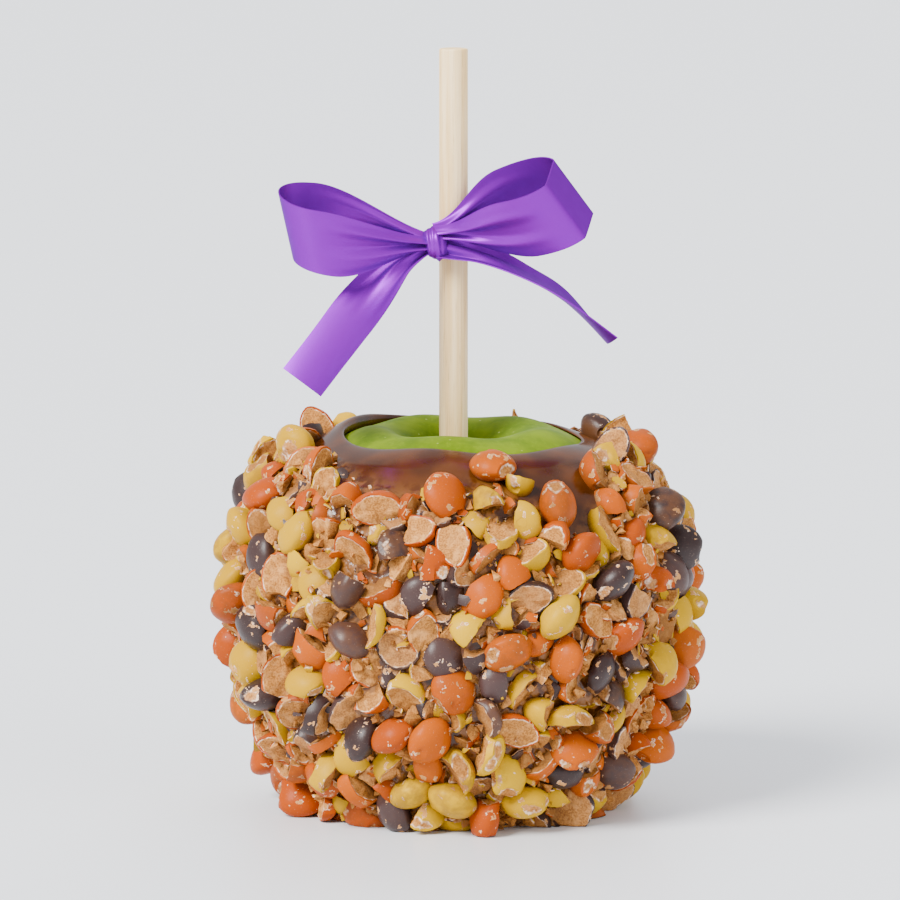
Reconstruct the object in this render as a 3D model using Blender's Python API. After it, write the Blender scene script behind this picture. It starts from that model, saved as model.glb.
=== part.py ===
"""Caramel apple rolled in broken shelled candies, on a wooden dowel tied with a satin ribbon bow.

Metres, +Z up. The origin is the middle of the flat foot and the front is -Y. Azimuth is measured
about +Z in degrees: 0 is the front, 90 the right, 180 the back.
"""

import math
import random

import bmesh
import bpy
import numpy as np
from mathutils import Matrix, Vector

MM = 0.001
GAP = 0.3 * MM

# The fruit: a turned outline (radius, height) in millimetres, from the middle of its base over
# the shoulder and down into the stem hollow.
APPLE_OUTLINE = (
    (0.0, 4.3), (17.0, 4.6), (27.6, 8.2), (35.2, 15.4), (40.4, 26.0), (43.2, 41.0), (42.9, 54.0),
    (39.7, 65.0), (34.2, 74.3), (27.2, 80.8), (19.0, 84.2), (12.2, 81.8), (7.2, 76.0), (3.7, 70.0),
)
APPLE_ROWS = 20
HOLLOW_RADIUS = 15.0 * MM
HOLE_BOTTOM = 27.0 * MM

# The caramel: its outer outline in the same terms, from the edge of the flat foot to the lip.
COAT_OUTLINE = (
    (25.0, 0.0), (29.4, 1.4), (34.6, 5.4), (39.4, 13.0), (44.2, 24.0), (47.4, 39.0),
    (47.2, 53.0), (43.6, 66.0), (39.2, 74.4), (33.6, 79.2),
)
COAT_ROWS = 11
COLUMNS = 32
CUP_TOP = 81.5
LIP_RADIUS = 26.4 * MM
LIP_RISE = 0.6 * MM
LIP_SWELL = 3.0 * MM
LIP_SWELL_AZIMUTH = -118.0
LIP_SWELL_WIDTH = 42.0
LIP_DENT = 3.6 * MM
LIP_DENT_WIDTH = 28.0
LIP_CROWN = 0.35 * MM
LIP_PROFILE = ((0.62, 0.0), (0.20, 0.05), (0.0, 0.42), (0.0, 1.0))

# How high the candies reach, as (azimuth in degrees, height in millimetres). They stop low at the
# front, where bare caramel shows.
CANDY_TOP = (
    (-180, 76), (-140, 77), (-115, 81), (-78, 83), (-58, 80), (-40, 75), (-18, 73), (0, 74), (12, 75),
    (24, 70), (35, 64), (44, 68), (54, 77), (66, 81), (95, 82), (120, 79), (150, 76),
)
CANDY_LOWEST = 1.2 * MM

# The candies: flattened round sweets, whole or broken along flat planes.
CANDY_RADIUS = (4.9 * MM, 5.9 * MM)
CANDY_FLATNESS = 0.66
ROUNDING = 1.12
CANDY_SEED = 7
CANDY_COUNT = 900
FUSED_COUNT = 138
PLACE_TRIES = 70
SPACING = 0.80
SINK_SHARE = 0.34
SINK_LIMIT = 2.1 * MM
FOOT_CLEARANCE = 0.35 * MM
FORMS = ("whole", "half", "wedge", "slab", "cap", "crumb")
FORM_SHARES = (0.06, 0.26, 0.29, 0.14, 0.08, 0.17)
COLOURS = ("orange", "yellow", "brown")
COLOUR_SHARES = (0.52, 0.27, 0.21)
WHOLE_TILT = (30, 90)
FACE_OUT_TILT = (5, 70)
FACE_SIDE_TILT = (85, 150)
FACE_OUT_SHARE = 0.32

# Candies that stand out in the bare band and along the rim, placed one by one: azimuth, height in
# millimetres, colour, form, and how far the axis of a whole one, or the broken face of another, leans
# from the surface normal, and to which side, where 0 is down, 90 right, 180 up and 270 left.
LANDMARKS = (
    (12.0, 81.0, "orange", "whole", 30, 180),
    (19.5, 76.2, "yellow", "wedge", 60, 160),
    (29.0, 71.0, "orange", "whole", 58, 85),
    (8.0, 72.4, "yellow", "half", 104, 10),
    (19.0, 68.6, "yellow", "half", 125, 250),
    (-4.0, 73.4, "orange", "whole", 48, 90),
    (-14.0, 71.2, "orange", "wedge", 55, 70),
    (-24.0, 71.0, "orange", "half", 42, 30),
    (-34.0, 71.8, "orange", "half", 84, 0),
    (-45.0, 74.0, "yellow", "half", 34, 20),
    (-66.0, 77.4, "orange", "slab", 42, 70),
    (50.0, 76.4, "orange", "half", 34, 50),
    (60.0, 70.0, "orange", "wedge", 40, 20),
    (71.0, 79.0, "brown", "half", 70, 270),
    (98.0, 81.0, "yellow", "half", 84, 270),
    (-99.0, 81.6, "brown", "wedge", 76, 0),
    (-134.0, 81.2, "yellow", "half", 130, 0),
    (157.0, 82.0, "yellow", "crumb", 60, 0),
    (114.0, 81.4, "brown", "whole", 12, 0),
    (19.0, 61.6, "yellow", "half", 50, 225),
    (-17.0, 63.6, "brown", "half", 110, 10),
    (-39.0, 65.4, "orange", "wedge", 34, 330),
    (25.0, 49.0, "yellow", "whole", 66, 45),
    (12.0, 42.0, "orange", "whole", 46, 20),
    (-36.0, 49.0, "yellow", "half", 66, 60),
    (-63.0, 43.0, "brown", "whole", 24, 0),
    (-31.0, 28.4, "brown", "half", 34, 70),
    (60.0, 53.0, "orange", "half", 100, 0),
    (-88.0, 47.5, "orange", "half", 64, 90),
    (94.0, 28.0, "orange", "half", 50, 270),
    (21.0, 8.6, "yellow", "whole", 56, 0),
)

# The stick: a dowel of a quarter of an inch, pushed into the core a little left of the middle.
STICK_X = -1.2 * MM
STICK_RADIUS = 3.175 * MM
STICK_TOP = 168.0 * MM
STICK_LENGTH = 139.7 * MM
STICK_BEVEL = 0.35 * MM
STICK_SIDES = 24

# The ribbon: satin, tied in a bow in front of the stick. Its places are measured from the stick.
RIBBON_WIDTH = 15.9 * MM
RIBBON_THICKNESS = 0.45 * MM
RIBBON_ROWS = 16
TAIL_ROWS = 9
RIBBON_ACROSS = 6
KNOT = Vector((-3.9, -6.4, 125.6)) * MM
KNOT_RADII = Vector((2.7, 3.1, 3.6)) * MM
KNOT_LEAN = 0.2
WRAP_HEIGHT = 5.2 * MM
WRAP_THICKNESS = 0.9 * MM
PINCH = 0.18
PLEAT = 1.1 * MM
TAIL_CUP = 1.3 * MM

CARAMEL_COLOUR = (0.24, 0.075, 0.022, 1)
APPLE_COLOUR = (0.38, 0.56, 0.06, 1)
WOOD_COLOUR = (0.87, 0.72, 0.50, 1)
SATIN_COLOUR = (0.33, 0.02, 0.70, 1)


def clear_scene():
    for obj in list(bpy.data.objects):
        bpy.data.objects.remove(obj, do_unlink=True)


def material(name, colour, roughness, metallic=0.0):
    made = bpy.data.materials.new(name)
    made.use_nodes = True
    shader = made.node_tree.nodes["Principled BSDF"]
    shader.inputs["Base Color"].default_value = colour
    shader.inputs["Roughness"].default_value = roughness
    shader.inputs["Metallic"].default_value = metallic
    return made


def add_object(name, mesh, finish=None):
    obj = bpy.data.objects.new(name, mesh)
    bpy.context.scene.collection.objects.link(obj)
    if finish:
        mesh.materials.append(finish)
    return obj


def mesh_from(name, bm):
    mesh = bpy.data.meshes.new(name)
    bmesh.ops.recalc_face_normals(bm, faces=bm.faces)
    bm.to_mesh(mesh)
    bm.free()
    return mesh


# Smooth lines and the two turned outlines


def smooth_point(points, u):
    """A point on the smooth curve through the points, where u counts along them from 0."""
    last = len(points) - 1
    k = min(max(int(math.floor(u)), 0), last - 1)
    f = u - k
    p0, p1, p2, p3 = (np.array(points[min(max(i, 0), last)], float) for i in (k - 1, k, k + 1, k + 2))
    ahead, behind = p2 - p0, p3 - p1
    return (
        p1
        + 0.5 * f * ahead
        + f * f * (-0.5 * ahead + 3 * (p2 - p1) - ahead * 0.5 - behind * 0.5)
        + f**3 * (0.5 * ahead + 0.5 * behind - 2 * (p2 - p1))
    )


def smooth_line(points, count, start=0.0, end=None):
    end = len(points) - 1 if end is None else end
    return [smooth_point(points, start + (end - start) * i / (count - 1)) for i in range(count)]


def around(azimuth, radius, height):
    angle = math.radians(azimuth)
    return Vector((radius * math.sin(angle), -radius * math.cos(angle), height))


def lobes(azimuth, radius):
    """The apple's five soft lobes round the stem hollow, as a rise in height."""
    near = math.exp(-(((radius / MM - 20.0) / 7.0) ** 2))
    return 0.45 * MM * near * math.cos(math.radians(5 * azimuth + 40))


def bump(azimuth, centre, width):
    away = (azimuth - centre + 180) % 360 - 180
    return math.exp(-((away / width) ** 2))


def lip_rise(azimuth):
    """The lip's height over the apple: low all round, swollen at the back left."""
    wave = 0.2 * MM * math.sin(math.radians(3 * azimuth + 20))
    return LIP_RISE + LIP_SWELL * bump(azimuth, LIP_SWELL_AZIMUTH, LIP_SWELL_WIDTH) + wave


def lip_radius(azimuth):
    wave = 0.8 * math.sin(math.radians(2 * azimuth - 35)) + 0.5 * math.sin(math.radians(5 * azimuth))
    return LIP_RADIUS + wave * MM - LIP_DENT * bump(azimuth, LIP_SWELL_AZIMUTH, LIP_DENT_WIDTH)


def lip_point(azimuth, share, drop):
    """A point on the lip: from the outline's end, share 1, to the opening's edge, share 0.

    drop lowers it by that part of the lip's height, which rounds its edge.
    """
    end = coat_place(len(COAT_OUTLINE) - 1, azimuth)[0]
    inner, rise = lip_radius(azimuth), lip_rise(azimuth)
    edge = apple_height(inner) + lobes(azimuth, inner) + GAP + rise
    crown = LIP_CROWN * 4 * share * (1 - share)
    radius = inner + share * (math.hypot(end.x, end.y) - inner)
    return around(azimuth, radius, edge + share * (end.z - edge) + crown - drop * rise)


def coat_wave(azimuth, height):
    """The slow unevenness of the poured caramel, as a distance out of its surface."""
    turn, up = math.radians(azimuth), height / MM
    return 0.35 * MM * math.sin(3 * turn + up / 11) * math.sin(up / 17 + turn)


def coat_place(u, azimuth):
    """The point of the caramel's surface u points along its outline, and the way out of it."""
    radius, height = smooth_point(COAT_OUTLINE, u)
    before, after = smooth_point(COAT_OUTLINE, u - 0.02), smooth_point(COAT_OUTLINE, u + 0.02)
    run, rise = after - before
    out = around(azimuth, rise, 0) + Vector((0, 0, -run))
    out.normalize()
    swell = coat_wave(azimuth, height * MM) * min(1.0, u)
    return around(azimuth, radius * MM, height * MM) + out * swell, out


def candy_top(azimuth):
    """How high the candies reach at this azimuth."""
    ends = [*CANDY_TOP, (CANDY_TOP[0][0] + 360, CANDY_TOP[0][1])]
    for (a, low), (b, high) in zip(ends, ends[1:]):
        if a <= azimuth <= b:
            share = (azimuth - a) / (b - a)
            return (low + (high - low) * (3 - 2 * share) * share * share) * MM
    return ends[0][1] * MM


# Turned shapes


def skin(bm, rings, closed_start=True, closed_end=True):
    """Faces between rings of points. A ring of one point is a pole."""
    made = [[bm.verts.new(p) for p in ring] for ring in rings]
    for low, high in zip(made, made[1:]):
        count = max(len(low), len(high))
        for i in range(count):
            j = (i + 1) % count
            if len(low) == 1:
                bm.faces.new((low[0], high[i], high[j]))
            elif len(high) == 1:
                bm.faces.new((low[i], low[j], high[0]))
            else:
                bm.faces.new((low[i], low[j], high[j], high[i]))
    for ring, closed in ((made[0], closed_start), (made[-1], closed_end)):
        if closed and len(ring) > 1:
            bm.faces.new(ring)
    return made


def azimuths(columns=COLUMNS):
    return [-180 + 360 * i / columns for i in range(columns)]


def apple_ring(radius, height, out=0.0):
    """A ring of the apple, moved out by some distance. Near the stick it closes about its axis."""
    shift = Vector((STICK_X * max(0.0, 1 - (radius - APPLE_OUTLINE[-1][0] * MM) / HOLLOW_RADIUS), 0, 0))
    return [around(a, radius + out, height + lobes(a, radius)) + shift for a in azimuths()]


def make_apple():
    """The fruit with its stem hollow, and the hole that the stick was pushed into."""
    rings = [[Vector((0, 0, APPLE_OUTLINE[0][1] * MM))]]
    for radius, height in smooth_line(APPLE_OUTLINE, APPLE_ROWS)[1:]:
        rings.append(apple_ring(radius * MM, height * MM))
    hole_radius = APPLE_OUTLINE[-1][0] * MM
    rings.append(apple_ring(hole_radius, HOLE_BOTTOM))
    rings.append([Vector((STICK_X, 0, HOLE_BOTTOM))])
    bm = bmesh.new()
    skin(bm, rings)
    apple = add_object("apple", mesh_from("apple", bm), material("apple_skin", APPLE_COLOUR, 0.35))
    apple.data.shade_smooth()
    apple.data.set_sharp_from_angle(angle=math.radians(50))
    return apple


def apple_height(radius):
    """The height of the apple's top at this radius outside the crest, in metres."""
    line = smooth_line(APPLE_OUTLINE, 160, 7, 10)
    for (r0, z0), (r1, z1) in zip(line, line[1:]):
        if r1 <= radius / MM <= r0:
            return (z0 + (z1 - z0) * (radius / MM - r0) / (r1 - r0)) * MM
    return line[-1][1] * MM


def coat_rings():
    """The caramel's rings: foot, outside, rounded lip down to the apple, and the cup that holds it."""
    turns = azimuths()
    rings = [[Vector((0, 0, 0))]]
    last = len(COAT_OUTLINE) - 1
    for i in range(COAT_ROWS):
        rings.append([coat_place(last * i / (COAT_ROWS - 1), a)[0] for a in turns])
    for share, drop in LIP_PROFILE:
        rings.append([lip_point(a, share, drop) for a in turns])
    cup = smooth_line(APPLE_OUTLINE, APPLE_ROWS)
    top = next(i for i, (r, z) in enumerate(cup) if z > CUP_TOP)
    for i in range(top - 1, 0, -1):
        run, rise = cup[i + 1] - cup[i - 1]
        length = math.hypot(run, rise)
        radius, height = cup[i] * MM
        rings.append(apple_ring(radius, height - GAP * run / length, GAP * rise / length))
    rings.append([Vector((0, 0, APPLE_OUTLINE[0][1] * MM - GAP))])
    return rings


# Candies


def pick(rng, names, shares):
    return rng.choices(names, weights=shares)[0]


def plane(direction, offset):
    """Keeps what lies on the near side of a plane: (unit normal, offset), in candy radii."""
    length = math.sqrt(sum(x * x for x in direction))
    return np.array([x / length for x in direction]), offset


def cuts_of(form, rng):
    """The planes along which a candy broke, in its own frame, where its axis is +Z."""
    turn = rng.uniform(0, 2 * math.pi)
    side = (math.cos(turn), math.sin(turn), rng.uniform(-0.25, 0.25))
    turn += rng.uniform(1.3, 2.2)
    other = (math.cos(turn), math.sin(turn), rng.uniform(-0.4, 0.4))
    back = (-side[0], -side[1], rng.uniform(-0.2, 0.2))
    if form == "whole":
        return [plane(other, rng.uniform(0.82, 1.2))]
    if form == "half":
        return [plane(side, rng.uniform(-0.1, 0.2)), plane(other, rng.uniform(0.55, 0.95))]
    if form == "wedge":
        return [plane(side, rng.uniform(-0.15, 0.25)), plane(other, rng.uniform(0.0, 0.35))]
    if form == "slab":
        return [plane(side, rng.uniform(0.25, 0.45)), plane(back, rng.uniform(0.0, 0.2))]
    if form == "cap":
        tip = (0.25 * side[0], 0.25 * side[1], 1)
        return [plane(tip, rng.uniform(0.0, 0.22)), plane(other, rng.uniform(0.6, 1.1))]
    lid = (side[1], -side[0], rng.uniform(0.5, 1.4))
    return [plane(side, rng.uniform(0.1, 0.3)), plane(other, rng.uniform(0.0, 0.25)),
            plane(lid, rng.uniform(0.1, 0.3))]


def ball_directions(count):
    """Directions spread evenly over a ball, on a golden-angle spiral."""
    k = np.arange(count) + 0.5
    height = 1 - 2 * k / count
    turn = k * math.pi * (3 - math.sqrt(5))
    level = np.sqrt(1 - height * height)
    return np.stack([level * np.cos(turn), level * np.sin(turn), height], axis=1)


def cut_points(candy, directions):
    """The candy's surface in these directions, pulled back onto the planes that broke it."""
    points = directions * [1, 1, CANDY_FLATNESS]
    kept = np.ones(len(points), bool)
    for normal, offset in candy["cuts"]:
        kept &= points @ normal < offset
    core = points[kept].mean(axis=0) if kept.any() else np.zeros(3)
    reach = points - core
    share = np.ones(len(points))
    for normal, offset in candy["cuts"]:
        along = reach @ normal
        limit = (offset - core @ normal) / np.where(along > 1e-9, along, 1e-9)
        share = np.where(along > 1e-9, np.minimum(share, limit), share)
    return (core + reach * share[:, None]) * candy["radius"]


def lying(candy, rng, tilt, heading):
    """The way a candy lies on +Z: its axis, or the face that it broke along, leans by tilt to heading."""
    whole = candy["form"] == "whole"
    spin = rng.uniform(0, 2 * math.pi)
    if tilt is None:
        heading = rng.uniform(0, 360)
        if whole:
            tilt = rng.uniform(*WHOLE_TILT)
        elif rng.random() < FACE_OUT_SHARE:
            tilt = rng.uniform(*FACE_OUT_TILT)
        else:
            tilt = rng.uniform(*FACE_SIDE_TILT)
    face = Vector((0, 0, 1)) if whole else Vector(candy["cuts"][0][0])
    lean = Matrix.Rotation(math.radians(heading), 3, "Z") @ Matrix.Rotation(math.radians(tilt), 3, "X")
    aim = lean @ Vector((0, 0, 1))
    return Matrix.Rotation(spin, 3, aim) @ face.rotation_difference(aim).to_matrix()


def new_candy(rng, colour=None, form=None, tilt=None, heading=None):
    """A candy's colour, size, broken shape and the way it lies, before it has a place."""
    form = form or pick(rng, FORMS, FORM_SHARES)
    candy = {
        "form": form,
        "colour": colour or pick(rng, COLOURS, COLOUR_SHARES),
        "radius": rng.uniform(*CANDY_RADIUS) * (0.80 if form == "crumb" else 1.0),
        "cuts": cuts_of(form, rng),
    }
    candy["turn"] = lying(candy, rng, tilt, heading)
    points = cut_points(candy, ball_directions(64)) @ np.array(candy["turn"]).T
    candy["centre"] = points.mean(axis=0)
    spread = np.linalg.norm((points - candy["centre"])[:, :2], axis=1)
    candy["reach"] = float(spread.max() + spread.mean()) / 2
    candy["bottom"] = float(points[:, 2].min())
    candy["height"] = float(np.ptp(points[:, 2]))
    return candy


def settle(candy, u, azimuth):
    """Presses the candy into the caramel at this place."""
    place, out = coat_place(u, azimuth)
    upright = out.to_track_quat("Z", "Y").to_matrix().to_4x4()
    sink = min(candy["height"] * SINK_SHARE, SINK_LIMIT)
    shift = Vector((-candy["centre"][0], -candy["centre"][1], -candy["bottom"] - sink))
    candy["place"] = place
    laid = upright @ Matrix.Translation(shift) @ candy["turn"].to_4x4()
    candy["matrix"] = Matrix.Translation(place) @ laid
    return candy


def outline_at(height):
    """How far along the caramel's outline this height is."""
    steps = np.linspace(0, len(COAT_OUTLINE) - 1, 400)
    heights = [smooth_point(COAT_OUTLINE, u)[1] * MM for u in steps]
    return float(np.interp(height, heights, steps))


def scatter_candies():
    """All the candies, largest first, packed over the caramel without piling up."""
    rng = random.Random(CANDY_SEED)
    placed = []
    for azimuth, height, colour, form, tilt, heading in LANDMARKS:
        candy = new_candy(rng, colour, form, tilt, heading)
        placed.append(settle(candy, outline_at(height * MM), azimuth))
    loose = sorted((new_candy(rng) for _ in range(CANDY_COUNT)), key=lambda candy: -candy["reach"])
    places = np.array([candy["place"] for candy in placed])
    reaches = np.array([candy["reach"] for candy in placed])
    lowest, highest = outline_at(CANDY_LOWEST), len(COAT_OUTLINE) - 1
    widest = max(radius for radius, _ in COAT_OUTLINE)
    for candy in loose:
        for _ in range(PLACE_TRIES):
            u, azimuth = rng.uniform(lowest, highest), rng.uniform(-180, 180)
            radius, height = smooth_point(COAT_OUTLINE, u)
            if rng.random() > radius / widest or height * MM > candy_top(azimuth) - 0.6 * candy["reach"]:
                continue
            place = np.array(coat_place(u, azimuth)[0])
            if (np.linalg.norm(places - place, axis=1) < SPACING * (reaches + candy["reach"])).any():
                continue
            placed.append(settle(candy, u, azimuth))
            places = np.vstack([places, place])
            reaches = np.append(reaches, candy["reach"])
            break
    return placed


def candy_mesh(candy, name):
    """The candy as a closed solid of few faces, cut along its planes and trimmed above the floor."""
    bm = bmesh.new()
    sides = 8 if candy["form"] == "whole" else 6
    bmesh.ops.create_uvsphere(bm, u_segments=sides, v_segments=3, radius=1.0)
    bmesh.ops.scale(bm, vec=(ROUNDING, ROUNDING, CANDY_FLATNESS), verts=bm.verts)
    for normal, offset in candy["cuts"]:
        slice_off(bm, Vector(normal) * offset, Vector(normal))
    bmesh.ops.scale(bm, vec=[candy["radius"]] * 3, verts=bm.verts)
    bmesh.ops.transform(bm, matrix=candy["matrix"], verts=bm.verts)
    slice_off(bm, Vector((0, 0, FOOT_CLEARANCE)), Vector((0, 0, -1)))
    return mesh_from(name, bm)


def slice_off(bm, point, normal):
    """Cuts away what lies beyond a plane, and closes the cut with one face."""
    cut = bmesh.ops.bisect_plane(
        bm, geom=[*bm.verts, *bm.edges, *bm.faces], plane_co=point, plane_no=normal, clear_outer=True
    )
    edges = [e for e in cut["geom_cut"] if isinstance(e, bmesh.types.BMEdge)]
    if edges:
        bmesh.ops.contextual_create(bm, geom=edges)


def unite(base, others):
    """Joins the other objects to the base with one Boolean on their collection.

    The exact solver leaves edges that touch on these shapes, so this is the manifold one.
    """
    group = bpy.data.collections.new(base.name + "_parts")
    for obj in others:
        group.objects.link(obj)
    union = base.modifiers.new("Union", "BOOLEAN")
    union.operation = "UNION"
    union.operand_type = "COLLECTION"
    union.collection = group
    union.solver = "MANIFOLD"
    graph = bpy.context.evaluated_depsgraph_get()
    joined = bpy.data.meshes.new_from_object(base.evaluated_get(graph))
    finish = base.data.materials[0]
    base.modifiers.clear()
    base.data = joined
    joined.materials.clear()
    joined.materials.append(finish)
    for obj in others:
        bpy.data.objects.remove(obj, do_unlink=True)
    bpy.data.collections.remove(group)
    keep_outer_body(base)


def keep_outer_body(obj):
    """Drops sealed hollows and loose scraps that fusing left, keeping the largest body."""
    bm = bmesh.new()
    bm.from_mesh(obj.data)
    waiting, bodies = set(bm.verts), []
    while waiting:
        body, front = set(), [waiting.pop()]
        while front:
            vert = front.pop()
            body.add(vert)
            for edge in vert.link_edges:
                near = edge.other_vert(vert)
                if near in waiting:
                    waiting.remove(near)
                    front.append(near)
        bodies.append(body)
    largest = max(bodies, key=len)
    bmesh.ops.delete(bm, geom=[v for body in bodies if body is not largest for v in body], context="VERTS")
    bm.to_mesh(obj.data)
    bm.free()


def make_coat():
    """The caramel shell with the larger candies fused to it."""
    bm = bmesh.new()
    skin(bm, coat_rings())
    coat = add_object("caramel_coat", mesh_from("caramel_coat", bm), material("caramel", CARAMEL_COLOUR, 0.3))
    candies = [
        add_object(f"candy_{i}", candy_mesh(candy, "candy"))
        for i, candy in enumerate(scatter_candies()[:FUSED_COUNT])
    ]
    unite(coat, candies)
    return coat


# Stick


def make_stick():
    """The dowel, with its ends eased."""
    bm = bmesh.new()
    bmesh.ops.create_cone(
        bm, cap_ends=True, segments=STICK_SIDES, radius1=STICK_RADIUS, radius2=STICK_RADIUS,
        depth=STICK_LENGTH,
    )
    rims = [e for e in bm.edges if abs(abs(e.verts[0].co.z) - STICK_LENGTH / 2) < 1e-6
            and abs(e.verts[0].co.z - e.verts[1].co.z) < 1e-6]
    bmesh.ops.bevel(bm, geom=rims, offset=STICK_BEVEL, segments=2, profile=0.5, affect="EDGES")
    stick = add_object("stick", mesh_from("stick", bm), material("wood", WOOD_COLOUR, 0.6))
    stick.location = (STICK_X, 0, STICK_TOP - STICK_LENGTH / 2)
    stick.data.shade_smooth()
    stick.data.set_sharp_from_angle(angle=math.radians(35))
    return stick


# Ribbon


def strip_solid(name, rows, thickness):
    """A closed solid from a grid of points across and along a ribbon, both faces split alike."""
    count, across = len(rows), len(rows[0])

    def normal(i, j):
        along = rows[min(i + 1, count - 1)][j] - rows[max(i - 1, 0)][j]
        over = rows[i][min(j + 1, across - 1)] - rows[i][max(j - 1, 0)]
        return along.cross(over).normalized()

    bm = bmesh.new()
    sides = []
    for way in (0.5, -0.5):
        side = []
        for i in range(count):
            side.append([bm.verts.new(rows[i][j] + normal(i, j) * way * thickness) for j in range(across)])
        sides.append(side)
    for side in sides:
        for i in range(count - 1):
            for j in range(across - 1):
                a, b, c, d = side[i][j], side[i + 1][j], side[i + 1][j + 1], side[i][j + 1]
                bm.faces.new((a, b, c))
                bm.faces.new((a, c, d))
    top, bottom = sides
    border = [(i, 0) for i in range(count)] + [(count - 1, j) for j in range(1, across)]
    border += [(i, across - 1) for i in range(count - 2, -1, -1)] + [(0, j) for j in range(across - 2, 0, -1)]
    for (i, j), (k, m) in zip(border, border[1:] + border[:1]):
        bm.faces.new((top[i][j], top[k][m], bottom[k][m], bottom[i][j]))
    return add_object(name, mesh_from(name, bm))


def ribbon_row(centre, across, out, gather, pleat, cup=0.0):
    """One line of points across the ribbon, narrowed to the share gather, pleated and cupped in depth."""
    row = []
    for j in range(RIBBON_ACROSS + 1):
        v = 2 * j / RIBBON_ACROSS - 1
        fold = pleat * math.cos(2 * math.pi * v) + cup * v * v
        row.append(centre + across * (v * gather * RIBBON_WIDTH / 2) + out * fold)
    return row


def gathered(share, reach, pinch=PINCH):
    """How wide the ribbon is beside its full width, opening from its pinch at the knot."""
    t = min(1.0, share / reach)
    return pinch + (1 - pinch) * t * t * (3 - 2 * t)


def loop_rows(length, bulge, heading, axis, shear, reach, lift, crease):
    """A bow loop: a drop-shaped line out from the knot and back, as wide as the ribbon.

    heading points from the knot to the loop's tip, axis runs across the ribbon, and shear moves
    the back layer along the axis. The ribbon is fully open at the share reach of the length, lift
    raises its start at the knot, and crease flattens the tip between two folds.
    """
    across = axis.normalized()
    ahead = (heading - across * heading.dot(across)).normalized()
    behind = ahead.cross(across) if ahead.cross(across).y > 0 else -ahead.cross(across)
    rows = []
    for i in range(RIBBON_ROWS + 1):
        s = i / RIBBON_ROWS
        far = math.sin(math.pi * s) ** 2
        deep = math.sin(2 * math.pi * s)
        flat = min(far, 1 - crease * (1 - 2 * deep))
        place = ahead * (length * flat) + behind * (bulge * deep * far**0.8 + 0.9 * MM * (1 - 2 * s))
        place += across * (shear * deep * far) + Vector((0, 0, lift * (1 - far) ** 3))
        slope = heading.normalized() - ahead * heading.normalized().dot(ahead)
        place += slope * length * flat
        pleat = PLEAT * max(0.0, 1 - far / 0.8) ** 1.1
        rows.append(ribbon_row(KNOT + place, across, behind, gathered(far, reach), pleat))
    return rows


def tail_rows(route, twist, reach, pinch):
    """A free end: a smooth route in millimetres, turned about itself by the angles in twist."""
    rows = []
    sight = Vector((0, 1, 0))
    for i in range(TAIL_ROWS + 1):
        u = (len(route) - 1) * i / TAIL_ROWS
        here = Vector(smooth_point(route, u)) * MM
        ahead = Vector(smooth_point(route, u + 0.05)) - Vector(smooth_point(route, u - 0.05))
        angle = float(smooth_point([(t,) for t in twist], (len(twist) - 1) * i / TAIL_ROWS)[0])
        flat = ahead.cross(sight).normalized()
        across = Matrix.Rotation(math.radians(angle), 3, ahead) @ flat
        share = i / TAIL_ROWS
        pleat = 0.8 * MM * max(0.0, 1 - share / 0.6) ** 1.2
        out = ahead.cross(across).normalized()
        rows.append(ribbon_row(here, across, out, gathered(share, reach, pinch), pleat, TAIL_CUP * share))
    return rows


LEFT_LOOP = (
    31.2 * MM, 9.6 * MM, Vector((-1.0, -0.10, 0.16)), Vector((-0.19, -0.30, 0.93)), 0.6 * MM, 0.75, 0.0, 0.0,
)
RIGHT_LOOP = (
    32.8 * MM, 9.8 * MM, Vector((0.96, -0.14, 0.36)), Vector((-0.55, -0.34, 0.77)), 0.9 * MM, 0.58, 2.6 * MM,
    0.045,
)
LEFT_TAIL = (
    (-4.8, -6.2, 125.0), (-12.4, -8.2, 120.8), (-19.4, -11.0, 112.8), (-26.0, -13.4, 104.0),
    (-32.4, -14.6, 95.4),
)
LEFT_TWIST = (20, 34, 50, 54, 54)
RIGHT_TAIL = (
    (-3.2, -7.2, 125.2), (5.6, -7.6, 123.2), (14.6, -8.6, 119.4), (23.8, -9.4, 113.9),
    (34.0, -9.8, 104.0),
)
RIGHT_TWIST = (-14, -58, -80, -88, -101)


def make_knot():
    """The knot: a rounded lump of gathered ribbon with a band across it."""
    bm = bmesh.new()
    bmesh.ops.create_uvsphere(bm, u_segments=10, v_segments=7, radius=1.0)
    for vert in bm.verts:
        ridge = 1 + 0.07 * math.cos(5 * math.atan2(vert.co.x, vert.co.z) + 0.6)
        here = Vector((vert.co[k] * KNOT_RADII[k] * ridge for k in range(3)))
        vert.co = here + KNOT - Vector((here.z * KNOT_LEAN, 0, 0))
    return add_object("ribbon_bow", mesh_from("knot", bm), material("satin", SATIN_COLOUR, 0.35))


def make_wrap():
    """The turn of ribbon round the stick that carries the knot."""
    inner = STICK_RADIUS + GAP
    outer = inner + WRAP_THICKNESS
    low, high = KNOT.z - WRAP_HEIGHT / 2, KNOT.z + WRAP_HEIGHT / 2
    ease = 0.25 * MM
    corners = ((inner, low), (outer - ease, low), (outer, low + ease), (outer + ease, KNOT.z),
               (outer, high - ease), (outer - ease, high), (inner, high))
    bm = bmesh.new()
    rings = skin(bm, [[around(a, r, z) for a in azimuths(16)] for r, z in corners], False, False)
    first, last = rings[0], rings[-1]
    for i in range(len(first)):
        j = (i + 1) % len(first)
        bm.faces.new((first[i], last[i], last[j], first[j]))
    return add_object("wrap", mesh_from("wrap", bm))


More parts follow.
